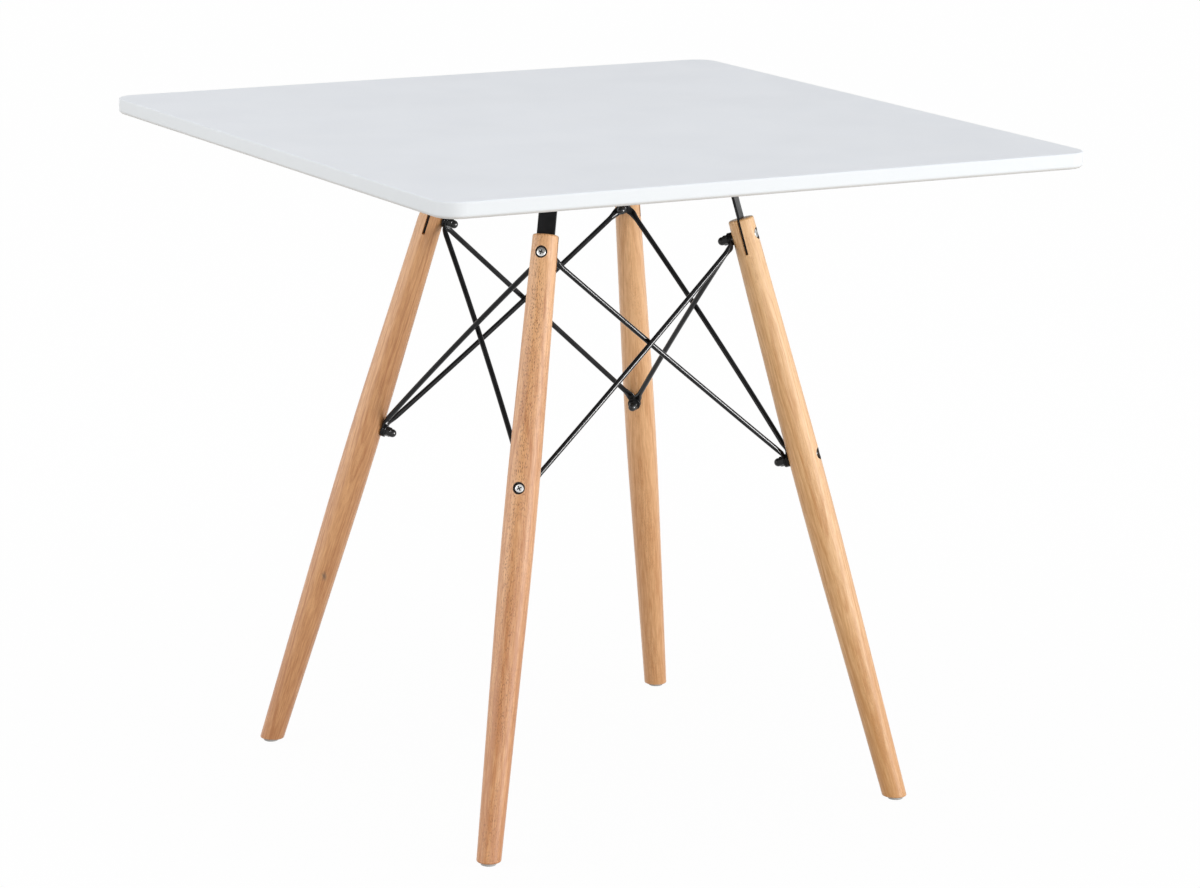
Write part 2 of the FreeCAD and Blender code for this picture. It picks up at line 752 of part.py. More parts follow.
def make_neck_sections(name, end, start, away):
    """A flat oval in the eyelet, the same oval at the bend, and the round rod."""
    bisector = (end.neck + away).normalize()
    inside = end.middle + end.neck * (size("eyelet_diameter") / 2 - size("neck_inset"))
    sections = []
    for number, (point, normal) in enumerate(((inside, end.neck), (end.bend, bisector))):
        oval = doc.addObject("Part::Ellipse", f"{name}_oval_{number}")
        bind(
            oval,
            MajorRadius="Sizes.neck_width / 2",
            MinorRadius="Sizes.eyelet_thickness / 2 - Sizes.neck_relief",
        )
        oval.Placement = Placement(point, axes(end.across, normal))
        sections.append(oval)
    round_end = doc.addObject("Part::Circle", f"{name}_round")
    bind(round_end, Radius="Sizes.rod_diameter / 2")
    level = (end.across - away * end.across.dot(away)).normalize()
    round_end.Placement = Placement(start, axes(level, away))
    sections.append(round_end)
    return sections


# Glides and nails


def make_glide(corner):
    name = f"glide_{corner}"
    body = new_body(name)
    radius = size("glide_diameter") / 2
    edge = size("glide_edge_radius")
    hole = size("nail_diameter") / 2 + size("nail_clearance")
    recess = size("nail_head_diameter") / 2 + size("nail_head_clearance")
    corners = [
        (hole, nail_seat),
        (recess, nail_seat),
        (recess, 0),
        (radius - edge, 0),
        (radius, edge),
        (radius, size("glide_thickness")),
        (hole, size("glide_thickness")),
    ]
    profile = new_sketch(body, "XZ_Plane")
    bulge = edge * math.sqrt(0.5)
    draw_outline(profile, corners, {3: (radius - edge + bulge, edge - bulge)})
    place(profile, 5, 1, "Sizes.glide_diameter / 2", "Sizes.glide_thickness")
    revolve(body, profile)
    body.Placement = Placement(foot_point(corner), corner_rotation(corner))
    keep(body, name)


def make_glide_nail(corner):
    name = f"glide_nail_{corner}"
    body = new_body(name)
    radius = size("nail_diameter") / 2
    head = size("nail_head_diameter") / 2
    tip = nail_seat + size("nail_length")
    corners = [
        (0, size("nail_head_sink")),
        (head, size("nail_head_sink")),
        (head, nail_seat),
        (radius, nail_seat),
        (radius, tip - size("nail_tip_length")),
        (0, tip),
    ]
    profile = new_sketch(body, "XZ_Plane")
    draw_outline(profile, corners)
    place(profile, 2, 1, "Sizes.nail_head_diameter / 2")
    place(profile, 4, 1, "Sizes.nail_diameter / 2")
    revolve(body, profile)
    body.Placement = Placement(foot_point(corner), corner_rotation(corner))
    keep(body, name)


def check(pieces):
    for item in doc.Objects:
        if "Invalid" in item.State or "Error" in item.State:
            raise RuntimeError(f"{item.Name} failed: {item.State}")
    for piece in pieces:
        if piece.Shape.isNull() or not piece.Shape.isValid():
            raise RuntimeError(f"{piece.Label} has no valid shape")


make_top()
for corner in CORNERS:
    make_leg(corner)
    make_bracket(corner)
    make_bracket_screws(corner)
    for joint in JOINTS:
        make_bolt(corner, joint)
        make_cap_nut(corner, joint)
    make_glide(corner)
    make_glide_nail(corner)
for side in SIDES:
    for place_name, (ends, bow_direction, bow) in plan_side(side).items():
        make_strut(f"strut_{side}_{place_name}", ends, bow_direction, bow)
doc.recompute()
check(nodes)
os.makedirs("parts", exist_ok=True)
for node in nodes:
    node.Shape.exportStep(f"parts/{node.Label}.step")
    box = node.Shape.BoundBox
    print(
        f"{node.Label}: {len(node.Shape.Solids)} solid(s), {node.Shape.Volume:.1f} mm3,"
        f" {box.XLength:.2f} x {box.YLength:.2f} x {box.ZLength:.2f} mm"
    )
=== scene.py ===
"""Looks of a square dining table on splayed turned legs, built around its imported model.

Metres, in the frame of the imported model: +Z up, the front edge along X, the floor at Z 0.
The top, the legs, the brackets, the nuts and the feet keep their solid shape and get their finish here.
The bracing rods are drawn again as bent wire with hammered, drilled ends, the bolts and wood screws with
rounded heads and cross recesses.
A leg's own space has Z up the leg, X away from the table's middle and its origin on the floor.
"""
import math
from typing import NamedTuple

import bpy
import numpy as np
from bpy.props import FloatProperty, FloatVectorProperty, PointerProperty
from bpy.types import Operator, Panel, PropertyGroup
from mathutils import Matrix, Vector


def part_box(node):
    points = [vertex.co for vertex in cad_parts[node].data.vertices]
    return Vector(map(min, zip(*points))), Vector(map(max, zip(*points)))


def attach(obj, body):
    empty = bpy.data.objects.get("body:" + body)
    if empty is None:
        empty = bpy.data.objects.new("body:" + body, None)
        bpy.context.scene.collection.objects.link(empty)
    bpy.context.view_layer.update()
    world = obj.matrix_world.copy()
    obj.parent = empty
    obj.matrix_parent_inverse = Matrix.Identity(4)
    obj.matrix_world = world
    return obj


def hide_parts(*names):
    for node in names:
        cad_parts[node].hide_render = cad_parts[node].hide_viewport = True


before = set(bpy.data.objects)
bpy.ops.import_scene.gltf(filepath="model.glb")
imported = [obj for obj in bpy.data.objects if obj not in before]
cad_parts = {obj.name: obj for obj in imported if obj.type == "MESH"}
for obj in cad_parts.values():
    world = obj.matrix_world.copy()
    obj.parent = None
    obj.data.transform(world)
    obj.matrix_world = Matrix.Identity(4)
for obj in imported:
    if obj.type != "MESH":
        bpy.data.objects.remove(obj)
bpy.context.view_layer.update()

bl_info = {
    "name": "Splayed-leg dining table",
    "version": (1, 0, 0),
    "blender": (4, 5, 0),
    "location": "View3D > Sidebar > Table",
    "description": "Finishes the pieces of a square dining table and sets up its studio",
    "category": "Object",
}

BODY = "root"
CORNERS = ("front_left", "front_right", "back_right", "back_left")
JOINTS = ("upper", "lower")
SIDES = {
    "front": ("front_left", "front_right"),
    "right": ("front_right", "back_right"),
    "back": ("back_right", "back_left"),
    "left": ("back_left", "front_left"),
}
NUTS = [f"cap_nut_{joint}_{corner}" for joint in JOINTS for corner in CORNERS]
UP = Vector((0, 0, 1))


# Settings


def amount(name, description, default, **limits):
    return FloatProperty(name=name, description=description, default=default, **limits)


def length(name, description, default):
    return amount(name, description, default, min=0, precision=5, unit="LENGTH")


def share(name, description, default):
    return amount(name, description, default, min=0, max=1, subtype="FACTOR")


def brightness(name, description, default):
    return amount(name, description, default, min=0)


def angle(name, description, degrees):
    return amount(name, description, math.radians(degrees), subtype="ANGLE")


def colour(name, description, default):
    return FloatVectorProperty(
        name=name, description=description, default=default, size=3, min=0, max=1, subtype="COLOR"
    )


class TopLook(PropertyGroup):
    """Finish of the white top."""

    lacquer: colour("Lacquer", "Colour of the top's lacquer", (0.832, 0.864, 0.915))
    roughness: share("Roughness", "Roughness of the top's lacquer", 0.36)
    # The edge colour is painted shade: a slightly darker, less blue copy of the lacquer on upright faces
    edge: colour("Edge", "Colour of the top's painted edge", (0.828, 0.852, 0.868))
    # The underside colour is painted shade: a greyer copy of the lacquer on the faces that look down
    underside_shade: colour("Underside", "Colour of the thin coat below the top's edge", (0.70, 0.683, 0.65))
    peel_size: length("Peel size", "Width of the faint dimples in the lacquer", 0.004)
    peel_depth: length("Peel depth", "Depth of the faint dimples in the lacquer", 0.00003)


class WoodLook(PropertyGroup):
    """Finish that all four legs share."""

    ring_width: length("Ring width", "From one growth ring to the next", 0.0036)
    pith_distance: length("Pith distance", "From the leg's middle to the heart of the tree", 0.055)
    fleck_width: length("Fleck width", "Width of the short dark flecks", 0.0008)
    fleck_length: length("Fleck length", "Length of the short dark flecks", 0.0032)
    fleck: colour("Flecks", "Colour of the short dark flecks along the grain", (0.26, 0.085, 0.014))
    roughness: share("Roughness", "Roughness of the wood below its varnish", 0.42)
    bore: length("Bore", "Diameter of the holes that the bolts' heads sit in", 0.0132)
    # Painted shade on the walls of the bores, near black
    bore_shade: colour("Scorch", "Colour of the drilled holes' walls", (0.012, 0.008, 0.006))


class RodLook(PropertyGroup):
    """Shape and finish of the bracing rods."""

    diameter: length("Diameter", "Diameter of the round wire", 0.006)
    bend: length("Bend radius", "Radius of the bend beside an eyelet", 0.009)
    eyelet: length("Eyelet", "Diameter of the hammered end", 0.015)
    bore: length("Bore", "Diameter of the hole in the eyelet", 0.0064)
    thickness: length("Eyelet thickness", "Thickness of the hammered end", 0.0027)
    neck_width: length("Neck width", "Width of the flat neck beside the eyelet", 0.0096)
    neck_length: length("Neck length", "From the bend to the full round wire", 0.014)
    outer_flat: length("Outer flat", "Flat run beside the eyelet on the rods next to the legs", 0.0045)
    inner_flat: length("Inner flat", "Flat run beside the eyelet on the rods next to the nuts", 0.002)
    clearance: length("Clearance", "Between the two rods of a side where they cross", 0.0004)
    paint: colour("Paint", "Colour of the rods' paint", (0.007, 0.007, 0.0075))
    roughness: share("Roughness", "Roughness of the rods' paint", 0.12)


class ScrewLook(PropertyGroup):
    """Shape of one kind of screw with a cross recess."""

    head: length("Head", "Diameter of the head", 0.0108)
    height: length("Head height", "Height of the head in its middle", 0.0036)
    rim: length("Rim", "Height of the head's upright edge", 0.0024)
    span: length("Recess span", "From end to end of the cross recess", 0.0058)
    slot: length("Recess slot", "Width of one arm of the cross recess", 0.0013)
    depth: length("Recess depth", "Depth of the cross recess", 0.0022)
    shank: length("Shank", "Diameter of the shank", 0.0059)
    tip: length("Tip", "Length of the tapered end", 0.0008)
    tip_width: length("Tip width", "Diameter at the end of the tip", 0.0043)


# Where the wood screws differ from the bolts
WOOD_SCREW = {
    "head": 0.008,
    "height": 0.0028,
    "rim": 0.0014,
    "span": 0.0044,
    "slot": 0.0009,
    "depth": 0.0015,
    "shank": 0.004,
    "tip": 0.004,
    "tip_width": 0.0007,
}


class SteelLook(PropertyGroup):
    """Finish of the brackets, nuts, bolts, screws, nails and glides."""

    powder: colour("Powder coat", "Colour of the brackets", (0.008, 0.008, 0.009))
    nut: colour("Nut", "Colour of the cap nuts", (0.008, 0.008, 0.008))
    zinc: colour("Zinc", "Colour of the bright steel", (0.66, 0.67, 0.68))
    # The colour deep in the cross recesses is painted shade
    recess_shade: colour("Grime", "Colour in the depth of the cross recesses", (0.07, 0.075, 0.07))
    glide: colour("Glide", "Colour of the glides", (0.47, 0.47, 0.455))


class StudioLook(PropertyGroup):
    """Camera, light and floor."""

    place: FloatVectorProperty(
        name="Camera place",
        description="Where the camera stands",
        default=(-2.505252, -4.276982, 1.505143),
        size=3,
        subtype="TRANSLATION",
    )
    yaw: angle("Yaw", "How far the camera looks to the right of straight ahead", 30.578)
    pitch: angle("Pitch", "How far the camera looks down", 12.75)
    roll: angle("Roll", "How far the camera leans to the right", -1.041)
    lens: amount("Lens", "Focal length", 134.537, unit="CAMERA")
    floor: colour("Floor", "Colour of the light that the floor sends up", (0.46, 0.46, 0.46))
    sky: brightness("Sky", "Light from all round", 0.42)
    above: brightness("Above", "Light from over the table", 0.262)
    key: brightness("Key", "Light from the right", 0.44)
    gleam: brightness("Gleam", "Light that draws the highlights on the rods and nuts", 2.2)
    fill: brightness("Fill", "Light from the left", 0.28)
    rim: brightness("Rim", "Light along both sides of the legs", 0.12)
    front: brightness("Front", "Light from beside the camera", 0.155)


class TableLook(PropertyGroup):
    """All settings of the table's look."""

    top: PointerProperty(type=TopLook)
    wood: PointerProperty(type=WoodLook)
    rod: PointerProperty(type=RodLook)
    bolt: PointerProperty(type=ScrewLook)
    screw: PointerProperty(type=ScrewLook)
    steel: PointerProperty(type=SteelLook)
    studio: PointerProperty(type=StudioLook)


# Nodes


def feed(tree, node, inputs):
    """Give a node's inputs plain values or other nodes' outputs."""
    for key, value in inputs.items():
        if isinstance(value, bpy.types.NodeSocket):
            tree.links.new(value, node.inputs[key])
        else:
            node.inputs[key].default_value = value


def add_node(tree, kind, inputs=None, **settings):
    node = tree.nodes.new(kind)
    for name, value in settings.items():
        setattr(node, name, value)
    feed(tree, node, inputs or {})
    return node


def result(tree, kind, inputs=None, **settings):
    """Add a node and return its first output."""
    return add_node(tree, kind, inputs, **settings).outputs[0]


def calculate(tree, operation, *values):
    return result(tree, "ShaderNodeMath", dict(enumerate(values)), operation=operation)


def product(tree, first, *others):
    for other in others:
        first = calculate(tree, "MULTIPLY", first, other)
    return first


def half(tree, value):
    return calculate(tree, "DIVIDE", value, 2.0)


def vector_maths(tree, operation, *values, output="Vector"):
    node = add_node(tree, "ShaderNodeVectorMath", dict(enumerate(values)), operation=operation)
    return node.outputs[output]


ROUND_AXIS = (1, 1, 0)
# Range that most of a noise lies in
NOISE_RANGE = (0.3, 0.7)


def length_of(tree, vector, axes=(1, 1, 1)):
    return vector_maths(tree, "LENGTH", vector_maths(tree, "MULTIPLY", vector, axes), output="Value")


def axis_of(tree, vector, axis):
    return add_node(tree, "ShaderNodeSeparateXYZ", {"Vector": vector}).outputs[axis]


def combine(tree, **axes):
    return result(tree, "ShaderNodeCombineXYZ", axes)


def per_length(tree, vector, across, along=None):
    """Coordinates counted in features of a width across the grain and a length along it."""
    rate = (1 / across, 1 / across, 1 / (along or across))
    return vector_maths(tree, "MULTIPLY", vector, rate)


def noise(tree, vector, detail=2.0, roughness=0.5):
    inputs = {"Vector": vector, "Scale": 1.0, "Detail": detail, "Roughness": roughness}
    return result(tree, "ShaderNodeTexNoise", inputs)


def remap(tree, value, low, high, to_low=0.0, to_high=1.0, curve="SMOOTHSTEP"):
    inputs = {"Value": value, "From Min": low, "From Max": high, "To Min": to_low, "To Max": to_high}
    return result(tree, "ShaderNodeMapRange", inputs, interpolation_type=curve)


def mix(tree, factor, first, second):
    inputs = {0: factor, 6: first, 7: second}
    return add_node(tree, "ShaderNodeMix", inputs, data_type="RGBA").outputs[2]


def opaque(rgb, level=1.0):
    return (*(channel * level for channel in rgb), 1.0)


def new_material(name):
    material = bpy.data.materials.new(name)
    material.use_nodes = True
    tree = material.node_tree
    return material, tree, tree.nodes["Principled BSDF"]


def object_place(tree):
    return add_node(tree, "ShaderNodeTexCoord").outputs["Object"]


def own_space(tree, base):
    """Object coordinates, seen from a frame of their own."""
    inputs = {"Vector": object_place(tree), "Location": base.translation, "Rotation": base.to_euler()}
    return result(tree, "ShaderNodeMapping", inputs, vector_type="TEXTURE")


def bump(tree, shader, height, depth):
    inputs = {"Height": height, "Distance": depth, "Strength": 1.0}
    feed(tree, shader, {"Normal": result(tree, "ShaderNodeBump", inputs)})


def add_object(name, data):
    made = bpy.data.objects.new(name, data)
    bpy.context.scene.collection.objects.link(made)
    return made


def dress(nodes, material):
    """Give CAD nodes a finish."""
    for node in nodes:
        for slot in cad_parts[node].material_slots:
            slot.material = material


# Where the legs and joints are


def points_of(node):
    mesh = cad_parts[node].data
    points = np.empty(len(mesh.vertices) * 3)
    mesh.vertices.foreach_get("co", points)
    return points.reshape(-1, 3)


def leg_frame(corner):
    """From a leg's own space to the table's."""
    low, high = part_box(f"glide_{corner}")
    foot = (low + high) / 2
    foot.z = 0
    bolt = points_of(f"bolt_lower_{corner}")
    outward = Vector(np.linalg.svd(bolt - bolt.mean(0), full_matrices=False)[2][0])
    if outward.dot(foot) < 0:
        outward.negate()
    across = UP.cross(outward).normalized()
    turn = Matrix((outward, across, outward.cross(across))).transposed()
    return Matrix.Translation(foot) @ turn.to_4x4()


def nut_in_leg(corner, joint):
    """Points of a cap nut in its leg's own space."""
    back = leg_frame(corner).inverted()
    return points_of(f"cap_nut_{joint}_{corner}") @ np.array(back.to_3x3()).T + np.array(back.translation)


def joint_height(corner, joint):
    """How far up the leg a joint's bolt sits."""
    heights = nut_in_leg(corner, joint)[:, 2]
    return (heights.max() + heights.min()) / 2


class RodEnd:
    """One end of a rod: the eyelet on its bolt, and the point where its flat neck bends."""

    def __init__(self, corner, joint, layer, rod):
        base = leg_frame(corner)
        seat = nut_in_leg(corner, joint)[:, 0].max()
        # Two eyelets lie on each nut: layer 1 next to it, layer 0 next to the leg
        self.outward = base.to_3x3() @ Vector((1, 0, 0))
        self.middle = base @ Vector((seat + (1.5 - layer) * rod.thickness, 0, joint_height(corner, joint)))

    def aim(self, target, reach):
        towards = target - self.middle
        self.neck = (towards - self.outward * towards.dot(self.outward)).normalized()
        self.bend = self.middle + self.neck * reach


# Wood


class Stock(NamedTuple):
    """The piece of timber that one leg is turned from."""

    light: tuple
    dark: tuple
    pith_angle: float
    offset: float
    flecks: float
    rings: float
    streaks: float
    knot: tuple = None


# Light and dark colour, bearing of the heart in degrees, place along the log in metres, then the strength
# of the flecks, rings and streaks, and the place of a knot
STOCK = {
    "front_left": Stock((0.85, 0.472, 0.218), (0.49, 0.192, 0.057), 0, 0.4, 1.0, 0.35, 0.9),
    "front_right": Stock((0.835, 0.51, 0.24), (0.56, 0.26, 0.076), 110, 1.7, 0.3, 0.5, 0.6),
    "back_right": Stock((0.855, 0.498, 0.242), (0.57, 0.255, 0.084), 200, 2.9, 0.25, 0.35, 0.6),
    "back_left": Stock(
        (0.73, 0.387, 0.168), (0.43, 0.172, 0.055), 285, 4.3, 0.25, 0.42, 0.7, (-0.007, 0.0148, 0.218)
    ),
}
GRAIN_TILT = math.radians(1.2)
# Features of the wood, by their width across the grain and their length along it
WANDER = (0.05, 0.30)
RIPPLE = (0.012, 0.07)
STREAK = (0.016, 0.26)
FIBRE = (0.0015, 0.022)
FLECK_CLUSTER = (0.022, 0.11)
# How far the rings swing with them, and how deep a fleck goes
WANDER_DEPTH = 0.016
RIPPLE_DEPTH = 0.0016
FLECK_DEPTH = 0.007
# Where late wood starts and ends in a ring, and the strength of the faintest ring
LATE_WOOD = (0.15, 0.86)
FAINTEST_RING = 0.35
# Darkness of the wood, then painted shade at the foot of a leg that turns to painted light at its upper end
# over this run
BASE_TONE = 0.08
STREAK_TONE = 0.6
FIBRE_TONE = 2.0
FOOT_SHADE = 0.44
UPPER_END_LIGHT = -0.16
SHADE_RUN = 0.68
# Flecks: from their core to their edge, from a blank cell to a full one, from bare wood to a cluster,
# and the angle round the heart over which their dense band ends
FLECK_BODY = (0.26, 0.5)
FLECK_CHOICE = (0.1, 0.55)
CLUSTER_EDGE = (0.4, 0.58)
DENSE_BAND = (0.06, 0.2)
BETWEEN_CLUSTERS = 0.2
OUTSIDE_BAND = 0.4
# Spread of the roughness with the fibres, the roughness that a fleck adds, and how it lies among them
FIBRE_GLOSS = 0.16
FLECK_GLOSS = 0.1
FLECK_HEIGHT = -0.6
VARNISH = 0.55
VARNISH_ROUGHNESS = 0.43
GRAIN_DEPTH = 0.00006
KNOT_SIZE = (0.0036, 0.0036, 0.0068)
KNOT_EDGE = (0.6, 1.7)
KNOT_WOBBLE = 1.5
KNOT_STRENGTH = 0.75
KNOT_COLOUR = (0.10, 0.065, 0.04)
# Painted shade on the walls of a bore: beyond the wall, where it starts to fade and where it ends
BORE_SHADE_EDGE = (0.00005, 0.0004)
BORE_SHADE_STRENGTH = 0.95


def growth_rings(tree, log, radius, wood):
    """Late wood of the growth rings, stronger in some years than in others."""
    wander = noise(tree, per_length(tree, log, *WANDER))
    ripple = noise(tree, per_length(tree, log, *RIPPLE))
    bent = calculate(tree, "MULTIPLY_ADD", wander, WANDER_DEPTH, radius)
    bent = calculate(tree, "MULTIPLY_ADD", ripple, RIPPLE_DEPTH, bent)
    ring = calculate(tree, "DIVIDE", bent, wood.ring_width)
    phase = calculate(tree, "FRACT", ring)
    start, end = LATE_WOOD
    number = calculate(tree, "FLOOR", ring)
    year = result(tree, "ShaderNodeTexWhiteNoise", {"W": number}, noise_dimensions="1D")
    return product(
        tree,
        remap(tree, phase, start, end),
        remap(tree, phase, end, 1.0, 1.0, 0.0),
        remap(tree, year, 0.0, 1.0, FAINTEST_RING, 1.0),
    )


def ray_flecks(tree, log, radius, wood):
    """Short dark flecks in clusters, densest in a band from the heart through the leg's middle."""
    turn = calculate(tree, "ARCTAN2", axis_of(tree, log, "Y"), axis_of(tree, log, "X"))
    cell = combine(
        tree,
        X=product(tree, turn, wood.pith_distance / wood.fleck_width),
        Y=calculate(tree, "DIVIDE", radius, FLECK_DEPTH),
        Z=calculate(tree, "DIVIDE", axis_of(tree, log, "Z"), wood.fleck_length),
    )
    ray = add_node(tree, "ShaderNodeTexVoronoi", {"Vector": cell, "Scale": 1.0}).outputs
    chosen = add_node(tree, "ShaderNodeSeparateColor", {"Color": ray["Color"]}).outputs["Red"]
    cluster = noise(tree, per_length(tree, log, *FLECK_CLUSTER))
    return product(
        tree,
        remap(tree, ray["Distance"], *FLECK_BODY, 1.0, 0.0),
        remap(tree, chosen, *FLECK_CHOICE),
        remap(tree, cluster, *CLUSTER_EDGE, BETWEEN_CLUSTERS, 1.0),
        remap(tree, calculate(tree, "ABSOLUTE", turn), *DENSE_BAND, 1.0, OUTSIDE_BAND),
    )


def wood_material(corner, wood):
    """Varnished beech, cut from a log whose heart runs beside the leg."""
    stock = STOCK[corner]
    material, tree, shader = new_material(f"beech_{corner}")
    turn = Matrix.Rotation(math.radians(stock.pith_angle), 4, "Z")
    turn = turn @ Matrix.Rotation(GRAIN_TILT, 4, "Y")
    log_start = leg_frame(corner) @ turn @ Matrix.Translation((-wood.pith_distance, 0, -stock.offset))
    log = own_space(tree, log_start)
    radius = length_of(tree, log, ROUND_AXIS)

    late = growth_rings(tree, log, radius, wood)
    streaks = remap(tree, noise(tree, per_length(tree, log, *STREAK), detail=3.0), *NOISE_RANGE)
    fibre = noise(tree, per_length(tree, log, *FIBRE), detail=4.0, roughness=0.62)
    # Painted shade towards the foot and painted light towards the upper end of the leg
    shade_run_end = stock.offset + SHADE_RUN
    run = remap(tree, axis_of(tree, log, "Z"), stock.offset, shade_run_end, FOOT_SHADE, UPPER_END_LIGHT)
    tone = calculate(tree, "MULTIPLY_ADD", late, stock.rings, BASE_TONE)
    tone = calculate(tree, "MULTIPLY_ADD", streaks, stock.streaks * STREAK_TONE, tone)
    tone = calculate(tree, "MULTIPLY_ADD", calculate(tree, "SUBTRACT", fibre, 0.5), FIBRE_TONE, tone)
    tone = calculate(tree, "ADD", tone, run)
    tone = result(tree, "ShaderNodeClamp", {"Value": tone})
    paint = mix(tree, tone, opaque(stock.light), opaque(stock.dark))

    flecks = ray_flecks(tree, log, radius, wood)
    paint = mix(tree, product(tree, flecks, stock.flecks), paint, opaque(wood.fleck))
    if stock.knot:
        paint = add_knot(tree, paint, leg_frame(corner) @ Vector(stock.knot))
    gloss = calculate(tree, "MULTIPLY_ADD", fibre, FIBRE_GLOSS, wood.roughness - FIBRE_GLOSS / 2)
    # The base colour carries the painted shade in the bores
    looks = {
        "Base Color": shade_bores(tree, paint, corner, wood),
        "Roughness": calculate(tree, "MULTIPLY_ADD", flecks, FLECK_GLOSS, gloss),
        "Coat Weight": VARNISH,
        "Coat Roughness": VARNISH_ROUGHNESS,
    }
    feed(tree, shader, looks)
    bump(tree, shader, calculate(tree, "MULTIPLY_ADD", flecks, FLECK_HEIGHT, fibre), GRAIN_DEPTH)
    return material


def add_knot(tree, paint, place):
    """A small dark knot at a place on the leg."""
    apart = vector_maths(tree, "SUBTRACT", object_place(tree), tuple(place))
    apart = vector_maths(tree, "DIVIDE", apart, KNOT_SIZE)
    wobble = noise(tree, vector_maths(tree, "MULTIPLY", apart, (KNOT_WOBBLE,) * 3))
    far = calculate(tree, "ADD", length_of(tree, apart), wobble)
    return mix(tree, remap(tree, far, *KNOT_EDGE, KNOT_STRENGTH, 0.0), paint, opaque(KNOT_COLOUR))


def shade_bores(tree, paint, corner, wood):
    """Painted shade: near-black walls in the two drilled holes that take the bolts' heads."""
    own = own_space(tree, leg_frame(corner))
    outside = calculate(tree, "GREATER_THAN", axis_of(tree, own, "X"), 0.0)
    start, end = (wood.bore / 2 + beyond for beyond in BORE_SHADE_EDGE)
    for joint in JOINTS:
        apart = vector_maths(tree, "SUBTRACT", own, (0, 0, joint_height(corner, joint)))
        inside = remap(tree, length_of(tree, apart, (0, 1, 1)), start, end, BORE_SHADE_STRENGTH, 0.0)
        paint = mix(tree, product(tree, inside, outside), paint, opaque(wood.bore_shade))
    return paint


class TABLE_OT_legs(Operator):
    """Give each turned leg its varnished beech"""

    bl_idname = "table.legs"
    bl_label = "Finish Legs"

    def execute(self, context):
        wood = context.scene.table_look.wood
        for corner in CORNERS:
            dress([f"leg_{corner}"], wood_material(corner, wood))
        return {"FINISHED"}


# Top

CLOUD_SIZE = 0.13
CLOUD_LEVELS = (0.985, 1.01)
SMEAR_SIZE = 0.05
SMEAR_RANGE = (0.25, 0.75)
SMEAR_GLOSS = (-0.03, 0.04)
LACQUER_SHINE = 0.3
# Height of a face's normal over which the colour turns from the edge's painted shade to the upper face, and
# from the painted shade on faces that look down to the edge
UPPER_FACE = (0.4, 0.9)
UNDERSIDE_FACE = (-0.7, -0.15)


def lacquer_material(look):
    """White lacquer with painted shade: slightly darker and less blue on the upright edge, greyer on the
    faces that look down.
    """
    material, tree, shader = new_material("white_lacquer")
    place = object_place(tree)
    cloud = remap(tree, noise(tree, per_length(tree, place, CLOUD_SIZE)), *NOISE_RANGE)
    tint = mix(tree, cloud, *(opaque(look.lacquer, level) for level in CLOUD_LEVELS))
    facing = axis_of(tree, add_node(tree, "ShaderNodeNewGeometry").outputs["Normal"], "Z")
    # Painted shade: upright faces get a slightly darker, less blue copy of the lacquer
    tint = mix(tree, remap(tree, facing, *UPPER_FACE), opaque(look.edge), tint)
    # Painted shade: faces that look down get a greyer copy of the lacquer
    tint = mix(tree, remap(tree, facing, *UNDERSIDE_FACE, 1.0, 0.0), tint, opaque(look.underside_shade))
    smear = noise(tree, per_length(tree, place, SMEAR_SIZE), detail=3.0)
    gloss = remap(tree, smear, *SMEAR_RANGE, *(look.roughness + change for change in SMEAR_GLOSS))
    feed(tree, shader, {"Base Color": tint, "Roughness": gloss, "Specular IOR Level": LACQUER_SHINE})
    bump(tree, shader, noise(tree, per_length(tree, place, look.peel_size)), look.peel_depth)
    return material


class TABLE_OT_top(Operator):
    """Give the top its white lacquer"""

    bl_idname = "table.top"
    bl_label = "Finish Top"

    def execute(self, context):
        dress(["table_top"], lacquer_material(context.scene.table_look.top))
        return {"FINISHED"}


# Geometry trees

SHARP_ANGLE = math.radians(38)


def new_geometry_tree(name, inputs):
    """A geometry tree with named inputs; returns the tree and the sockets inside it."""
    tree = bpy.data.node_groups.new(name, "GeometryNodeTree")
    for label, kind in inputs.items():
        tree.interface.new_socket(name=label, in_out="INPUT", socket_type=f"NodeSocket{kind}")
    tree.interface.new_socket(name="Geometry", in_out="OUTPUT", socket_type="NodeSocketGeometry")
    return tree, add_node(tree, "NodeGroupInput").outputs


def finish_tree(tree, geometry, material):
    plain = result(tree, "GeometryNodeRealizeInstances", {"Geometry": geometry})
    painted = result(tree, "GeometryNodeSetMaterial", {"Geometry": plain, "Material": material})
    add_node(tree, "NodeGroupOutput", {"Geometry": painted})


def position(tree):
    return result(tree, "GeometryNodeInputPosition")


def set_position(tree, geometry, **inputs):
    return result(tree, "GeometryNodeSetPosition", {"Geometry": geometry, **inputs})


def transform(tree, geometry, **inputs):
    return result(tree, "GeometryNodeTransform", {"Geometry": geometry, **inputs})


def aim(tree, direction):
    """Turn that points Z along a direction."""
    return result(tree, "FunctionNodeAlignRotationToVector", {"Vector": direction}, axis="Z")


def join_or_cut(tree, operation, parts, inputs=None):
    """Join solids (UNION), or cut them out of the one among the inputs (DIFFERENCE)."""
    node = add_node(tree, "GeometryNodeMeshBoolean", inputs, operation=operation, solver="MANIFOLD")
    for part in parts:
        tree.links.new(part, node.inputs["Mesh 2"])
    return node.outputs["Mesh"]


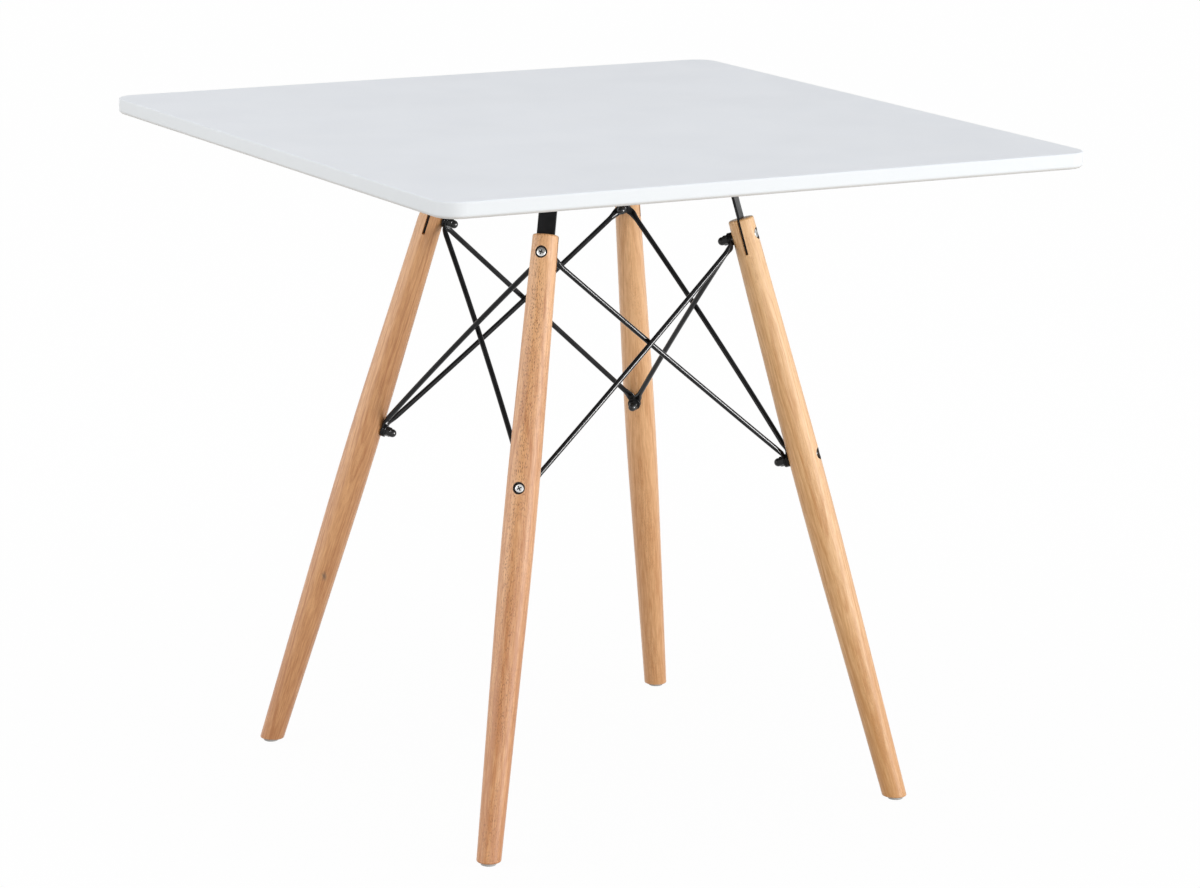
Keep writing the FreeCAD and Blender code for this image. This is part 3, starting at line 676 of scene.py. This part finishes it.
def grow(name, points, edges, tree, values):
    """Run a geometry tree on points and return its result as a plain mesh object."""
    mesh = bpy.data.meshes.new(name)
    mesh.from_pydata(points, edges, [])
    piece = add_object(name, mesh)
    modifier = piece.modifiers.new(tree.name, "NODES")
    modifier.node_group = tree
    for item in tree.interface.items_tree:
        if item.in_out == "INPUT" and item.name in values:
            modifier[item.identifier] = values[item.name]
    depsgraph = bpy.context.evaluated_depsgraph_get()
    made = bpy.data.meshes.new_from_object(piece.evaluated_get(depsgraph), depsgraph=depsgraph)
    piece.modifiers.clear()
    piece.data = made
    bpy.data.meshes.remove(mesh)
    made.name = name
    made.shade_smooth()
    made.set_sharp_from_angle(angle=SHARP_ANGLE)
    return piece


# Screws

# A screw's settings, which its tree takes under the same names
SCREW_SIZES = ("head", "height", "rim", "span", "slot", "depth", "shank", "tip", "tip_width")
SCREW_INPUTS = {
    "places": "Geometry",
    "outward": "Vector",
    "spin": "Float",
    "shank_length": "Float",
    **dict.fromkeys(SCREW_SIZES, "Float"),
    "plate": "Material",
}
SCREW_SIDES = 64
HEAD_RINGS = 12
SHANK_RINGS = 40
PIT_SIDES = 24
# How much narrower the recess is at its bottom, and the pit's size by the recess's slot and depth
RECESS_TAPER = 0.28
PIT_TOP = 1.15
PIT_BOTTOM = 0.3
PIT_DEPTH = 2.3
# Attribute that marks the recess for its painted shade, the depths between which it grows, and its reach by
# the head's diameter
SUNK = "sunk"
SUNK_DEPTH = (0.0001, 0.0009)
SUNK_REACH = 0.4
# How far the screws are turned, in radians: apart in a group, each bolt, and from corner to corner
SCREW_SPREAD = 2.4
BOLT_SPIN = {"upper": 0.5, "lower": 1.3}
BOLT_SPIN_STEP = 1.0
SCREW_SPIN_STEP = 0.7
# Share of the head's diameter beyond which only its rim lies
HEAD_RIM = 0.45
# Fullness of the head's crown
CROWN_POWER = 4.0


def lift(tree, geometry, height):
    return transform(tree, geometry, Translation=combine(tree, Z=height))


def widen(tree, spot, size):
    return vector_maths(tree, "MULTIPLY", spot, combine(tree, X=size, Y=size, Z=1.0))


def crown(tree, sockets, spot):
    """Height of the head's rounded top over a spot."""
    away = length_of(tree, spot, ROUND_AXIS)
    part = calculate(tree, "DIVIDE", away, half(tree, sockets["head"]))
    part = calculate(tree, "SUBTRACT", 1.0, calculate(tree, "POWER", part, CROWN_POWER))
    part = calculate(tree, "SQRT", calculate(tree, "MAXIMUM", part, 0.0))
    rise = calculate(tree, "SUBTRACT", sockets["height"], sockets["rim"])
    return calculate(tree, "MULTIPLY_ADD", rise, part, sockets["rim"])


def screw_head(tree, sockets):
    """A low round head, its flat top drawn down towards the rim."""
    height = sockets["height"]
    sizes = {
        "Vertices": SCREW_SIDES,
        "Fill Segments": HEAD_RINGS,
        "Radius": half(tree, sockets["head"]),
        "Depth": height,
    }
    head = result(tree, "GeometryNodeMeshCylinder", sizes, fill_type="TRIANGLE_FAN")
    head = lift(tree, head, half(tree, height))
    spot = position(tree)
    level = axis_of(tree, spot, "Z")
    upper = calculate(tree, "GREATER_THAN", level, half(tree, height))
    drop = calculate(tree, "SUBTRACT", crown(tree, sockets, spot), level)
    return set_position(tree, head, Selection=upper, Offset=combine(tree, Z=drop))


def screw_shank(tree, sockets):
    """A round shank that starts inside the head and tapers at its end."""
    deep = sockets["shank_length"]
    root = half(tree, sockets["rim"])
    sizes = {
        "Vertices": SCREW_SIDES // 2,
        "Side Segments": SHANK_RINGS,
        "Radius": half(tree, sockets["shank"]),
        "Depth": calculate(tree, "ADD", deep, root),
    }
    shank = result(tree, "GeometryNodeMeshCylinder", sizes, fill_type="NGON")
    shank = lift(tree, shank, half(tree, calculate(tree, "SUBTRACT", root, deep)))
    spot = position(tree)
    from_end = calculate(tree, "ADD", axis_of(tree, spot, "Z"), deep)
    ratio = calculate(tree, "DIVIDE", sockets["tip_width"], sockets["shank"])
    size = remap(tree, from_end, 0.0, sockets["tip"], ratio, 1.0, curve="LINEAR")
    return set_position(tree, shank, Position=widen(tree, spot, size))


def recess_arms(tree, sockets):
    """The two crossed wedges and the pit that the cross recess is cut with."""
    depth, slot = sockets["depth"], sockets["slot"]
    sizes = combine(tree, X=sockets["span"], Y=slot, Z=product(tree, depth, 2.0))
    wedge = result(tree, "GeometryNodeMeshCube", {"Size": sizes})
    spot = position(tree)
    slope = calculate(tree, "DIVIDE", axis_of(tree, spot, "Z"), depth)
    size = calculate(tree, "MULTIPLY_ADD", slope, RECESS_TAPER, 1.0)
    wedge = set_position(tree, wedge, Position=widen(tree, spot, size))
    wedge = lift(tree, wedge, sockets["height"])
    crossed = transform(tree, wedge, Rotation=(0, 0, math.pi / 2))
    sizes = {
        "Vertices": PIT_SIDES,
        "Radius Top": product(tree, slot, PIT_TOP),
        "Radius Bottom": product(tree, slot, PIT_BOTTOM),
        "Depth": product(tree, depth, PIT_DEPTH),
    }
    pit = result(tree, "GeometryNodeMeshCone", sizes, fill_type="NGON")
    low = calculate(tree, "MULTIPLY_ADD", depth, -PIT_DEPTH / 2, sockets["height"])
    return wedge, crossed, lift(tree, pit, low)


def screw_tree():
    """Screws with a low round head and a cross recess, one at each place."""
    tree, sockets = new_geometry_tree("cross_screw", SCREW_INPUTS)
    blank = join_or_cut(tree, "UNION", (screw_head(tree, sockets), screw_shank(tree, sockets)))
    screw = join_or_cut(tree, "DIFFERENCE", recess_arms(tree, sockets), {"Mesh 1": blank})

    spot = position(tree)
    level = axis_of(tree, spot, "Z")
    below = calculate(tree, "SUBTRACT", crown(tree, sockets, spot), level)
    in_head = calculate(tree, "GREATER_THAN", level, 0.0)
    reach = product(tree, sockets["head"], SUNK_REACH)
    in_reach = calculate(tree, "LESS_THAN", length_of(tree, spot, ROUND_AXIS), reach)
    # How deep a point lies in the recess, which the zinc darkens there as painted shade
    sunk = product(tree, remap(tree, below, *SUNK_DEPTH), in_head, in_reach)
    inputs = {"Geometry": screw, "Name": SUNK, "Value": sunk}
    marked = result(tree, "GeometryNodeStoreNamedAttribute", inputs, data_type="FLOAT", domain="POINT")

    number = result(tree, "GeometryNodeInputIndex")
    angle_each = calculate(tree, "MULTIPLY_ADD", number, SCREW_SPREAD, sockets["spin"])
    spin = result(tree, "FunctionNodeAxisAngleToRotation", {"Axis": (0, 0, 1), "Angle": angle_each})
    inputs = {"Rotation": aim(tree, sockets["outward"]), "Rotate By": spin}
    turn = result(tree, "FunctionNodeRotateRotation", inputs, rotation_space="LOCAL")
    places = result(tree, "GeometryNodeMeshToPoints", {"Mesh": sockets["places"]})
    inputs = {"Points": places, "Instance": marked, "Rotation": turn}
    set_out = result(tree, "GeometryNodeInstanceOnPoints", inputs)
    finish_tree(tree, set_out, sockets["plate"])
    return tree


class Seat:
    """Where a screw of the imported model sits: the middle under its head, and how deep it goes."""

    def __init__(self, points, outward, head):
        level = outward.orthogonal().normalized()
        axes = np.array((level, outward.cross(level), outward))
        inside = points @ axes.T
        middle = (inside.max(0) + inside.min(0)) / 2
        apart = np.hypot(inside[:, 0] - middle[0], inside[:, 1] - middle[1])
        under = inside[apart > HEAD_RIM * head, 2].min()
        self.place = Vector(axes.T @ np.array((middle[0], middle[1], under)))
        self.depth = float(under - inside[:, 2].min())


def drive(name, tree, seats, outward, spin, screw, plate):
    values = {setting: getattr(screw, setting) for setting in SCREW_SIZES}
    values |= {"outward": outward, "spin": spin, "shank_length": seats[0].depth, "plate": plate}
    piece = grow(name, [seat.place for seat in seats], [], tree, values)
    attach(piece, BODY)
    return piece


def drive_screws(look, zinc):
    """The bolts in the legs and the wood screws under the top."""
    tree = screw_tree()
    for number, corner in enumerate(CORNERS):
        outward = leg_frame(corner).to_3x3() @ Vector((1, 0, 0))
        for joint in JOINTS:
            seat = Seat(points_of(f"bolt_{joint}_{corner}"), outward, look.bolt.head)
            spin = BOLT_SPIN[joint] + BOLT_SPIN_STEP * number
            piece = drive(f"pan_bolt_{joint}_{corner}", tree, [seat], outward, spin, look.bolt, zinc)
            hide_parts(f"bolt_{joint}_{corner}")

        # The four screws of a bracket, told apart by the quarter that they stand in
        points = points_of(f"bracket_screws_{corner}")
        away = leg_frame(corner).translation.normalized()
        apart = points @ np.array((away, UP.cross(away))).T
        group = (apart > (apart.max(0) + apart.min(0)) / 2) @ np.array((1, 2))
        seats = [Seat(points[group == which], -UP, look.screw.head) for which in range(4)]
        spin = SCREW_SPIN_STEP * number
        piece = drive(f"pan_screws_{corner}", tree, seats, -UP, spin, look.screw, zinc)
        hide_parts(f"bracket_screws_{corner}")


# Steel and plastic

PAINT_CLOUD = 0.018
PAINT_LEVELS = (0.8, 1.3)
PAINT_GLOSS = 0.1
SKIN_RANGE = (0.2, 0.8)
ZINC_CLOUD = 0.004
ZINC_CLOUD_RANGE = (0.35, 0.65)
ZINC_WARMTH = (1.0, 0.98, 0.93)
ZINC_GLOSS = (0.22, 0.36)
SUNK_GLOSS = 0.3
ZINC_SKIN = 0.0005
ZINC_SKIN_DEPTH = 0.00001
SCUFF_SIZE = 0.0012
SCUFF_DEPTH = 0.00004
GLIDE_GLOSS = (0.42, 0.58)
LOW_PATCH_HEIGHT = 0.0012
LOW_PATCH_RANGE = (0.4, 0.6)
LOW_PATCH_LEVEL = 0.6


def painted_material(name, paint, roughness, shine, grain, depth):
    """Black paint on steel with a fine skin and slightly uneven gloss."""
    material, tree, shader = new_material(name)
    place = object_place(tree)
    cloud = remap(tree, noise(tree, per_length(tree, place, PAINT_CLOUD), detail=3.0), *NOISE_RANGE)
    tint = mix(tree, cloud, *(opaque(paint, level) for level in PAINT_LEVELS))
    gloss = calculate(tree, "MULTIPLY_ADD", cloud, PAINT_GLOSS, roughness - PAINT_GLOSS / 2)
    feed(tree, shader, {"Base Color": tint, "Roughness": gloss, "Specular IOR Level": shine})
    bump(tree, shader, noise(tree, per_length(tree, place, grain)), depth)
    return material


def zinc_material(look):
    """Zinc-plated steel, faintly blue and yellow in places, with painted shade deep in the cross recesses.
    """
    material, tree, shader = new_material("zinc_plate")
    place = object_place(tree)
    cloud = remap(tree, noise(tree, per_length(tree, place, ZINC_CLOUD), detail=3.0), *ZINC_CLOUD_RANGE)
    warm = [channel * part for channel, part in zip(look.zinc, ZINC_WARMTH)]
    plate = mix(tree, cloud, opaque(look.zinc), opaque(warm))
    sunk = add_node(tree, "ShaderNodeAttribute", attribute_name=SUNK).outputs["Fac"]
    # Painted shade deep in the cross recesses
    tint = mix(tree, sunk, plate, opaque(look.recess_shade))
    skin = noise(tree, per_length(tree, place, ZINC_SKIN))
    gloss = calculate(tree, "MULTIPLY_ADD", sunk, SUNK_GLOSS, remap(tree, skin, *SKIN_RANGE, *ZINC_GLOSS))
    feed(tree, shader, {"Base Color": tint, "Metallic": 1.0, "Roughness": gloss})
    bump(tree, shader, skin, ZINC_SKIN_DEPTH)
    return material


def glide_material(look):
    """Pale nylon, scuffed, and darker in patches along its lowest edge where it stands on the floor."""
    material, tree, shader = new_material("glide_nylon")
    place = object_place(tree)
    scuff = noise(tree, per_length(tree, place, SCUFF_SIZE), detail=3.0)
    low = remap(tree, axis_of(tree, place, "Z"), 0.0, LOW_PATCH_HEIGHT, 1.0, 0.0)
    # Darker in patches within the lowest part of the glide
    low_patches = product(tree, low, remap(tree, scuff, *LOW_PATCH_RANGE))
    tint = mix(tree, low_patches, opaque(look.glide), opaque(look.glide, LOW_PATCH_LEVEL))
    feed(tree, shader, {"Base Color": tint, "Roughness": remap(tree, scuff, *SKIN_RANGE, *GLIDE_GLOSS)})
    bump(tree, shader, scuff, SCUFF_DEPTH)
    return material


class TABLE_OT_brackets(Operator):
    """Give the brackets their black powder coat"""

    bl_idname = "table.brackets"
    bl_label = "Finish Brackets"

    def execute(self, context):
        look = context.scene.table_look.steel
        coat = painted_material(
            "black_powder_coat", look.powder, roughness=0.36, shine=0.2, grain=0.0006, depth=0.00001
        )
        dress([f"bracket_{corner}" for corner in CORNERS], coat)
        return {"FINISHED"}


class TABLE_OT_fasteners(Operator):
    """Draw the bolts and screws, and give the nails, nuts and glides their finish"""

    bl_idname = "table.fasteners"
    bl_label = "Finish Fasteners"

    def execute(self, context):
        look = context.scene.table_look.steel
        zinc = zinc_material(look)
        dress([f"glide_nail_{corner}" for corner in CORNERS], zinc)
        drive_screws(context.scene.table_look, zinc)
        nut = painted_material("black_nut", look.nut, roughness=0.26, shine=0.3, grain=0.0012, depth=0.00003)
        dress(NUTS, nut)
        dress([f"glide_{corner}" for corner in CORNERS], glide_material(look))
        return {"FINISHED"}


# Rods

# A rod's settings, which its tree takes under the same names
ROD_SIZES = ("diameter", "bend", "eyelet", "thickness", "bore", "neck_width", "neck_length")
ROD_INPUTS = {
    "path": "Geometry",
    **dict.fromkeys(ROD_SIZES, "Float"),
    "flat_length": "Float",
    "start_normal": "Vector",
    "start_middle": "Vector",
    "end_normal": "Vector",
    "end_middle": "Vector",
    "paint": "Material",
}
ROD_STEP = 0.0012
ROD_SIDES = 24
RING_SIDES = 48
BEND_STEPS = 8
BOW_STEPS = 24
EYELET_ROUNDING = 0.0005
EYELET_ROUNDING_STEPS = 4
NECK_INSET = 0.0017


def circle(tree, sides, radius):
    inputs = {"Resolution": sides, "Radius": radius}
    return result(tree, "GeometryNodeCurvePrimitiveCircle", inputs, mode="RADIUS")


def round_corners(tree, curve, steps, radius):
    inputs = {"Curve": curve, "Count": steps, "Radius": radius, "Limit Radius": True}
    return result(tree, "GeometryNodeFilletCurve", inputs, mode="POLY")


def eyelet_ring(tree, sockets, which):
    """A drilled disc with rounded edges, set on one end of the rod."""
    outer = half(tree, sockets["eyelet"])
    inner = half(tree, sockets["bore"])
    sizes = {"Width": calculate(tree, "SUBTRACT", outer, inner), "Height": sockets["thickness"]}
    section = result(tree, "GeometryNodeCurvePrimitiveQuadrilateral", sizes, mode="RECTANGLE")
    section = round_corners(tree, section, EYELET_ROUNDING_STEPS, EYELET_ROUNDING)
    path = circle(tree, RING_SIDES, half(tree, calculate(tree, "ADD", outer, inner)))
    ring = result(tree, "GeometryNodeCurveToMesh", {"Curve": path, "Profile Curve": section})
    turn = aim(tree, sockets[f"{which}_normal"])
    return transform(tree, ring, Translation=sockets[f"{which}_middle"], Rotation=turn)


def rod_tree():
    """Round wire along a path, hammered flat towards an eyelet at each end."""
    tree, sockets = new_geometry_tree("bracing_rod", ROD_INPUTS)
    path = result(tree, "GeometryNodeMeshToCurve", {"Mesh": sockets["path"]})
    path = round_corners(tree, path, BEND_STEPS, sockets["bend"])
    whole = result(tree, "GeometryNodeCurveLength", {"Curve": path})
    path = result(tree, "GeometryNodeResampleCurve", {"Curve": path, "Length": ROD_STEP}, mode="LENGTH")

    kept = add_node(tree, "GeometryNodeCaptureAttribute", {"Geometry": path}, domain="POINT")
    for kind, label in (("VECTOR", "Axis"), ("VECTOR", "Tangent"), ("FLOAT", "Run")):
        kept.capture_items.new(kind, label)
    tangent = result(tree, "GeometryNodeInputTangent")
    run = add_node(tree, "GeometryNodeSplineParameter").outputs["Length"]
    feed(tree, kept, {"Axis": position(tree), "Tangent": tangent, "Run": run})

    section = circle(tree, ROD_SIDES, half(tree, sockets["diameter"]))
    inputs = {"Curve": kept.outputs["Geometry"], "Profile Curve": section, "Fill Caps": True}
    wire = result(tree, "GeometryNodeCurveToMesh", inputs)

    run = kept.outputs["Run"]
    rest = calculate(tree, "SUBTRACT", whole, run)
    near = calculate(tree, "MINIMUM", run, rest)
    first_half = calculate(tree, "LESS_THAN", run, rest)
    inputs = {0: first_half, 4: sockets["end_normal"], 5: sockets["start_normal"]}
    normal = add_node(tree, "ShaderNodeMix", inputs, data_type="VECTOR").outputs[1]
    flat_end = calculate(tree, "ADD", sockets["flat_length"], sockets["neck_length"])
    flat = remap(tree, near, sockets["flat_length"], flat_end, 1.0, 0.0)
    thin = calculate(tree, "DIVIDE", sockets["thickness"], sockets["diameter"])
    wide = calculate(tree, "DIVIDE", sockets["neck_width"], sockets["diameter"])
    offset = vector_maths(tree, "SUBTRACT", position(tree), kept.outputs["Axis"])
    side = vector_maths(tree, "CROSS_PRODUCT", normal, kept.outputs["Tangent"])
    side = vector_maths(tree, "NORMALIZE", side)
    steps = []
    for direction, ratio in ((normal, thin), (side, wide)):
        reach = vector_maths(tree, "DOT_PRODUCT", offset, direction, output="Value")
        change = product(tree, calculate(tree, "SUBTRACT", ratio, 1.0), flat)
        steps.append(vector_maths(tree, "MULTIPLY", direction, product(tree, reach, change)))
    wire = set_position(tree, wire, Offset=vector_maths(tree, "ADD", *steps))
    rings = [eyelet_ring(tree, sockets, which) for which in ("start", "end")]
    finish_tree(tree, join_or_cut(tree, "UNION", (wire, *rings)), sockets["paint"])
    return tree


def rod_path(ends, rod, bow):
    """Points from one eyelet's rim to the other's, bowed in the middle."""
    inset = rod.eyelet / 2 - NECK_INSET
    points = [ends[0].middle + ends[0].neck * inset]
    for number in range(BOW_STEPS + 1):
        part = number / BOW_STEPS
        points.append(ends[0].bend.lerp(ends[1].bend, part) + bow * (4 * part * (1 - part)))
    points.append(ends[1].middle + ends[1].neck * inset)
    return points


def plan_side(left, right, rod):
    """Both rods of a side: their ends, the flat run beside their eyelets and their bow."""
    outer = (RodEnd(left, "lower", 0, rod), RodEnd(right, "upper", 0, rod))
    inner = (RodEnd(left, "upper", 1, rod), RodEnd(right, "lower", 1, rod))
    away = (outer[1].middle - outer[0].middle).cross(inner[1].middle - inner[0].middle).normalized()
    if away.dot(leg_frame(left).translation + leg_frame(right).translation) < 0:
        away.negate()
    for ends, flat in ((outer, rod.outer_flat), (inner, rod.inner_flat)):
        for end, other in zip(ends, reversed(ends)):
            end.aim(other.middle, rod.eyelet / 2 + flat)
    gap = (outer[0].bend - inner[0].bend).dot(away)
    bow = (rod.diameter + rod.clearance - gap) / 2
    return {"outer": (outer, rod.outer_flat, away * bow), "inner": (inner, rod.inner_flat, -away * bow)}


class TABLE_OT_rods(Operator):
    """Draw the crossed bracing rods as bent wire with hammered ends"""

    bl_idname = "table.rods"
    bl_label = "Draw Rods"

    def execute(self, context):
        rod = context.scene.table_look.rod
        tree = rod_tree()
        paint = painted_material(
            "black_rod", rod.paint, roughness=rod.roughness, shine=0.14, grain=0.006, depth=0.000002
        )
        sizes = {name: getattr(rod, name) for name in ROD_SIZES}
        for side, (left, right) in SIDES.items():
            for layer, (ends, flat, bow) in plan_side(left, right, rod).items():
                points = rod_path(ends, rod, bow)
                edges = [(number, number + 1) for number in range(len(points) - 1)]
                values = {**sizes, "flat_length": flat, "paint": paint}
                for which, end in zip(("start", "end"), ends):
                    values[f"{which}_normal"] = end.outward
                    values[f"{which}_middle"] = end.middle
                piece = grow(f"rod_{side}_{layer}", points, edges, tree, values)
                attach(piece, BODY)
                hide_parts(f"strut_{side}_{layer}")
        return {"FINISHED"}


# Studio

FLOOR_REACH = 30
FLOOR_SEEN = (0.95, 0.95, 0.95)
WHITE = (1, 1, 1, 1)
# Distance from the table's middle over which the floor's own glow rises, and its share there
GLOW_RUN = (0.4, 1.8)
GLOW_SHARE = (0.97, 0.99)
LAMP_TARGET = Vector((0, 0, 0.6))
# Bearing (0 is +X, 90 is +Y) and height in degrees, then the lamp's distance, width and height
LAMPS = {
    "above": (0, 90, 3.0, 3.0, 3.0),
    "key": (-56, 3, 4.5, 3.1, 1.66),
    "fill": (175, 8, 2.2, 1.4, 1.8),
    "front": (-105, 3, 3.6, 1.6, 1.6),
    "gleam": (-58, 0, 2.8, 1.2, 0.7),
    "rim_left": (138, 4, 2.4, 1.0, 1.4),
    "rim_right": (-14, 4, 2.4, 1.0, 1.4),
}


def camera_turn(studio):
    turn = Matrix.Rotation(-studio.yaw, 3, "Z") @ Matrix.Rotation(math.pi / 2 - studio.pitch, 3, "X")
    return turn @ Matrix.Rotation(-studio.roll, 3, "Z")


def seen_straight(tree):
    """1 for rays that come from the camera, a mirror or glass, 0 for light that spreads."""
    path = add_node(tree, "ShaderNodeLightPath").outputs
    seen = calculate(tree, "MAXIMUM", path["Is Camera Ray"], path["Is Glossy Ray"])
    return calculate(tree, "MAXIMUM", seen, path["Is Transmission Ray"])


def add_lamp(name, level, setting):
    """A rectangular soft lamp that gives a level of light at the table."""
    bearing, height, distance, width, tall = LAMPS[setting]
    lamp = bpy.data.lights.new(name, "AREA")
    lamp.shape = "RECTANGLE"
    lamp.size = width
    lamp.size_y = tall
    lamp.energy = level * 4 * math.pi * distance**2
    turn = math.radians(bearing)
    rise = math.radians(height)
    away = Vector((math.cos(turn) * math.cos(rise), math.sin(turn) * math.cos(rise), math.sin(rise)))
    holder = add_object(name, lamp)
    holder.location = LAMP_TARGET + away * distance
    holder.rotation_euler = away.to_track_quat("Z", "Y").to_euler()
    holder.visible_camera = False
    return holder


def link_light(lamp, pieces, state):
    """Let a lamp light some pieces only (INCLUDE), or all but them (EXCLUDE)."""
    named = bpy.data.collections.new(f"linked_to_{lamp.name}")
    for piece in pieces:
        named.objects.link(piece)
    lamp.light_linking.receiver_collection = named
    for piece in named.collection_objects:
        piece.light_linking.link_state = state


def add_side_lamp(name, level, top):
    """A soft lamp from the side that the top doesn't mirror."""
    link_light(add_lamp(name, level, name), top, "EXCLUDE")
    on_top = add_lamp(f"{name}_on_top", level, name)
    on_top.visible_glossy = False
    link_light(on_top, top, "INCLUDE")


def floor_material(studio):
    """Pale floor that reads white to the camera and keeps a light shadow."""
    material, tree, shader = new_material("studio_floor")
    tree.nodes.remove(shader)
    seen = seen_straight(tree)
    pale = mix(tree, seen, opaque(studio.floor), opaque(FLOOR_SEEN))
    matte = result(tree, "ShaderNodeBsdfDiffuse", {"Color": pale})
    white = result(tree, "ShaderNodeEmission", {"Color": WHITE, "Strength": 1.0})
    middle = length_of(tree, object_place(tree))
    glow = product(tree, seen, remap(tree, middle, *GLOW_RUN, *GLOW_SHARE))
    both = result(tree, "ShaderNodeMixShader", {0: glow, 1: matte, 2: white})
    feed(tree, tree.nodes["Material Output"], {"Surface": both})
    return material


def set_camera(scene, studio):
    camera = add_object("camera", bpy.data.cameras.new("camera"))
    camera.matrix_world = Matrix.Translation(studio.place) @ camera_turn(studio).to_4x4()
    camera.data.lens = studio.lens
    scene.camera = camera


def lay_floor(studio):
    mesh = bpy.data.meshes.new("floor")
    corners = [(x * FLOOR_REACH, y * FLOOR_REACH, 0) for x, y in ((-1, -1), (1, -1), (1, 1), (-1, 1))]
    mesh.from_pydata(corners, [], [(0, 1, 2, 3)])
    mesh.materials.append(floor_material(studio))
    floor = add_object("floor", mesh)


def set_surroundings(scene, studio):
    """White to the camera and in reflections, dimmer as a source of light."""
    world = bpy.data.worlds.new("studio")
    world.use_nodes = True
    scene.world = world
    tree = world.node_tree
    sky = tree.nodes["Background"]
    level = remap(tree, seen_straight(tree), 0.0, 1.0, studio.sky, 1.0, curve="LINEAR")
    feed(tree, sky, {"Color": WHITE, "Strength": level})


def set_lamps(studio):
    top = [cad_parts["table_top"]]
    legs = [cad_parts[f"leg_{corner}"] for corner in CORNERS]
    nuts = [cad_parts[name] for name in NUTS]
    rods = [bpy.data.objects[f"rod_{side}_{layer}"] for side in SIDES for layer in ("outer", "inner")]
    add_lamp("above", studio.above, "above")
    for name in ("key", "fill", "front"):
        add_side_lamp(name, getattr(studio, name), top)
    link_light(add_lamp("gleam", studio.gleam, "gleam"), rods + nuts, "INCLUDE")
    for name in ("rim_left", "rim_right"):
        link_light(add_lamp(name, studio.rim, name), legs, "INCLUDE")


class TABLE_OT_stage(Operator):
    """Set up the camera, the lamps, the floor and the white surroundings"""

    bl_idname = "table.stage"
    bl_label = "Set Up Studio"

    def execute(self, context):
        scene = context.scene
        studio = scene.table_look.studio
        scene.view_settings.view_transform = "Standard"
        set_camera(scene, studio)
        lay_floor(studio)
        set_surroundings(scene, studio)
        set_lamps(studio)
        return {"FINISHED"}


class TABLE_PT_look(Panel):
    """The table's pieces and studio"""

    bl_idname = "TABLE_PT_look"
    bl_label = "Dining Table"
    bl_space_type = "VIEW_3D"
    bl_region_type = "UI"
    bl_category = "Table"

    def draw(self, context):
        look = context.scene.table_look
        for operator in OPERATORS:
            self.layout.operator(operator.bl_idname)
        for group in (look.top, look.wood, look.rod, look.bolt, look.screw, look.steel, look.studio):
            box = self.layout.box()
            for name in group.bl_rna.properties.keys():
                if name not in ("rna_type", "name"):
                    box.prop(group, name)


OPERATORS = (
    TABLE_OT_top,
    TABLE_OT_legs,
    TABLE_OT_brackets,
    TABLE_OT_fasteners,
    TABLE_OT_rods,
    TABLE_OT_stage,
)
LOOKS = (TopLook, WoodLook, RodLook, ScrewLook, SteelLook, StudioLook, TableLook)
CLASSES = (*LOOKS, *OPERATORS, TABLE_PT_look)


def register():
    for item in CLASSES:
        bpy.utils.register_class(item)
    bpy.types.Scene.table_look = PointerProperty(type=TableLook)


def unregister():
    del bpy.types.Scene.table_look
    for item in reversed(CLASSES):
        bpy.utils.unregister_class(item)


def main():
    register()
    for name, value in WOOD_SCREW.items():
        setattr(bpy.context.scene.table_look.screw, name, value)
    bpy.ops.table.top()
    bpy.ops.table.legs()
    bpy.ops.table.brackets()
    bpy.ops.table.fasteners()
    bpy.ops.table.rods()
    bpy.ops.table.stage()


if __name__ == "__main__":
    main()
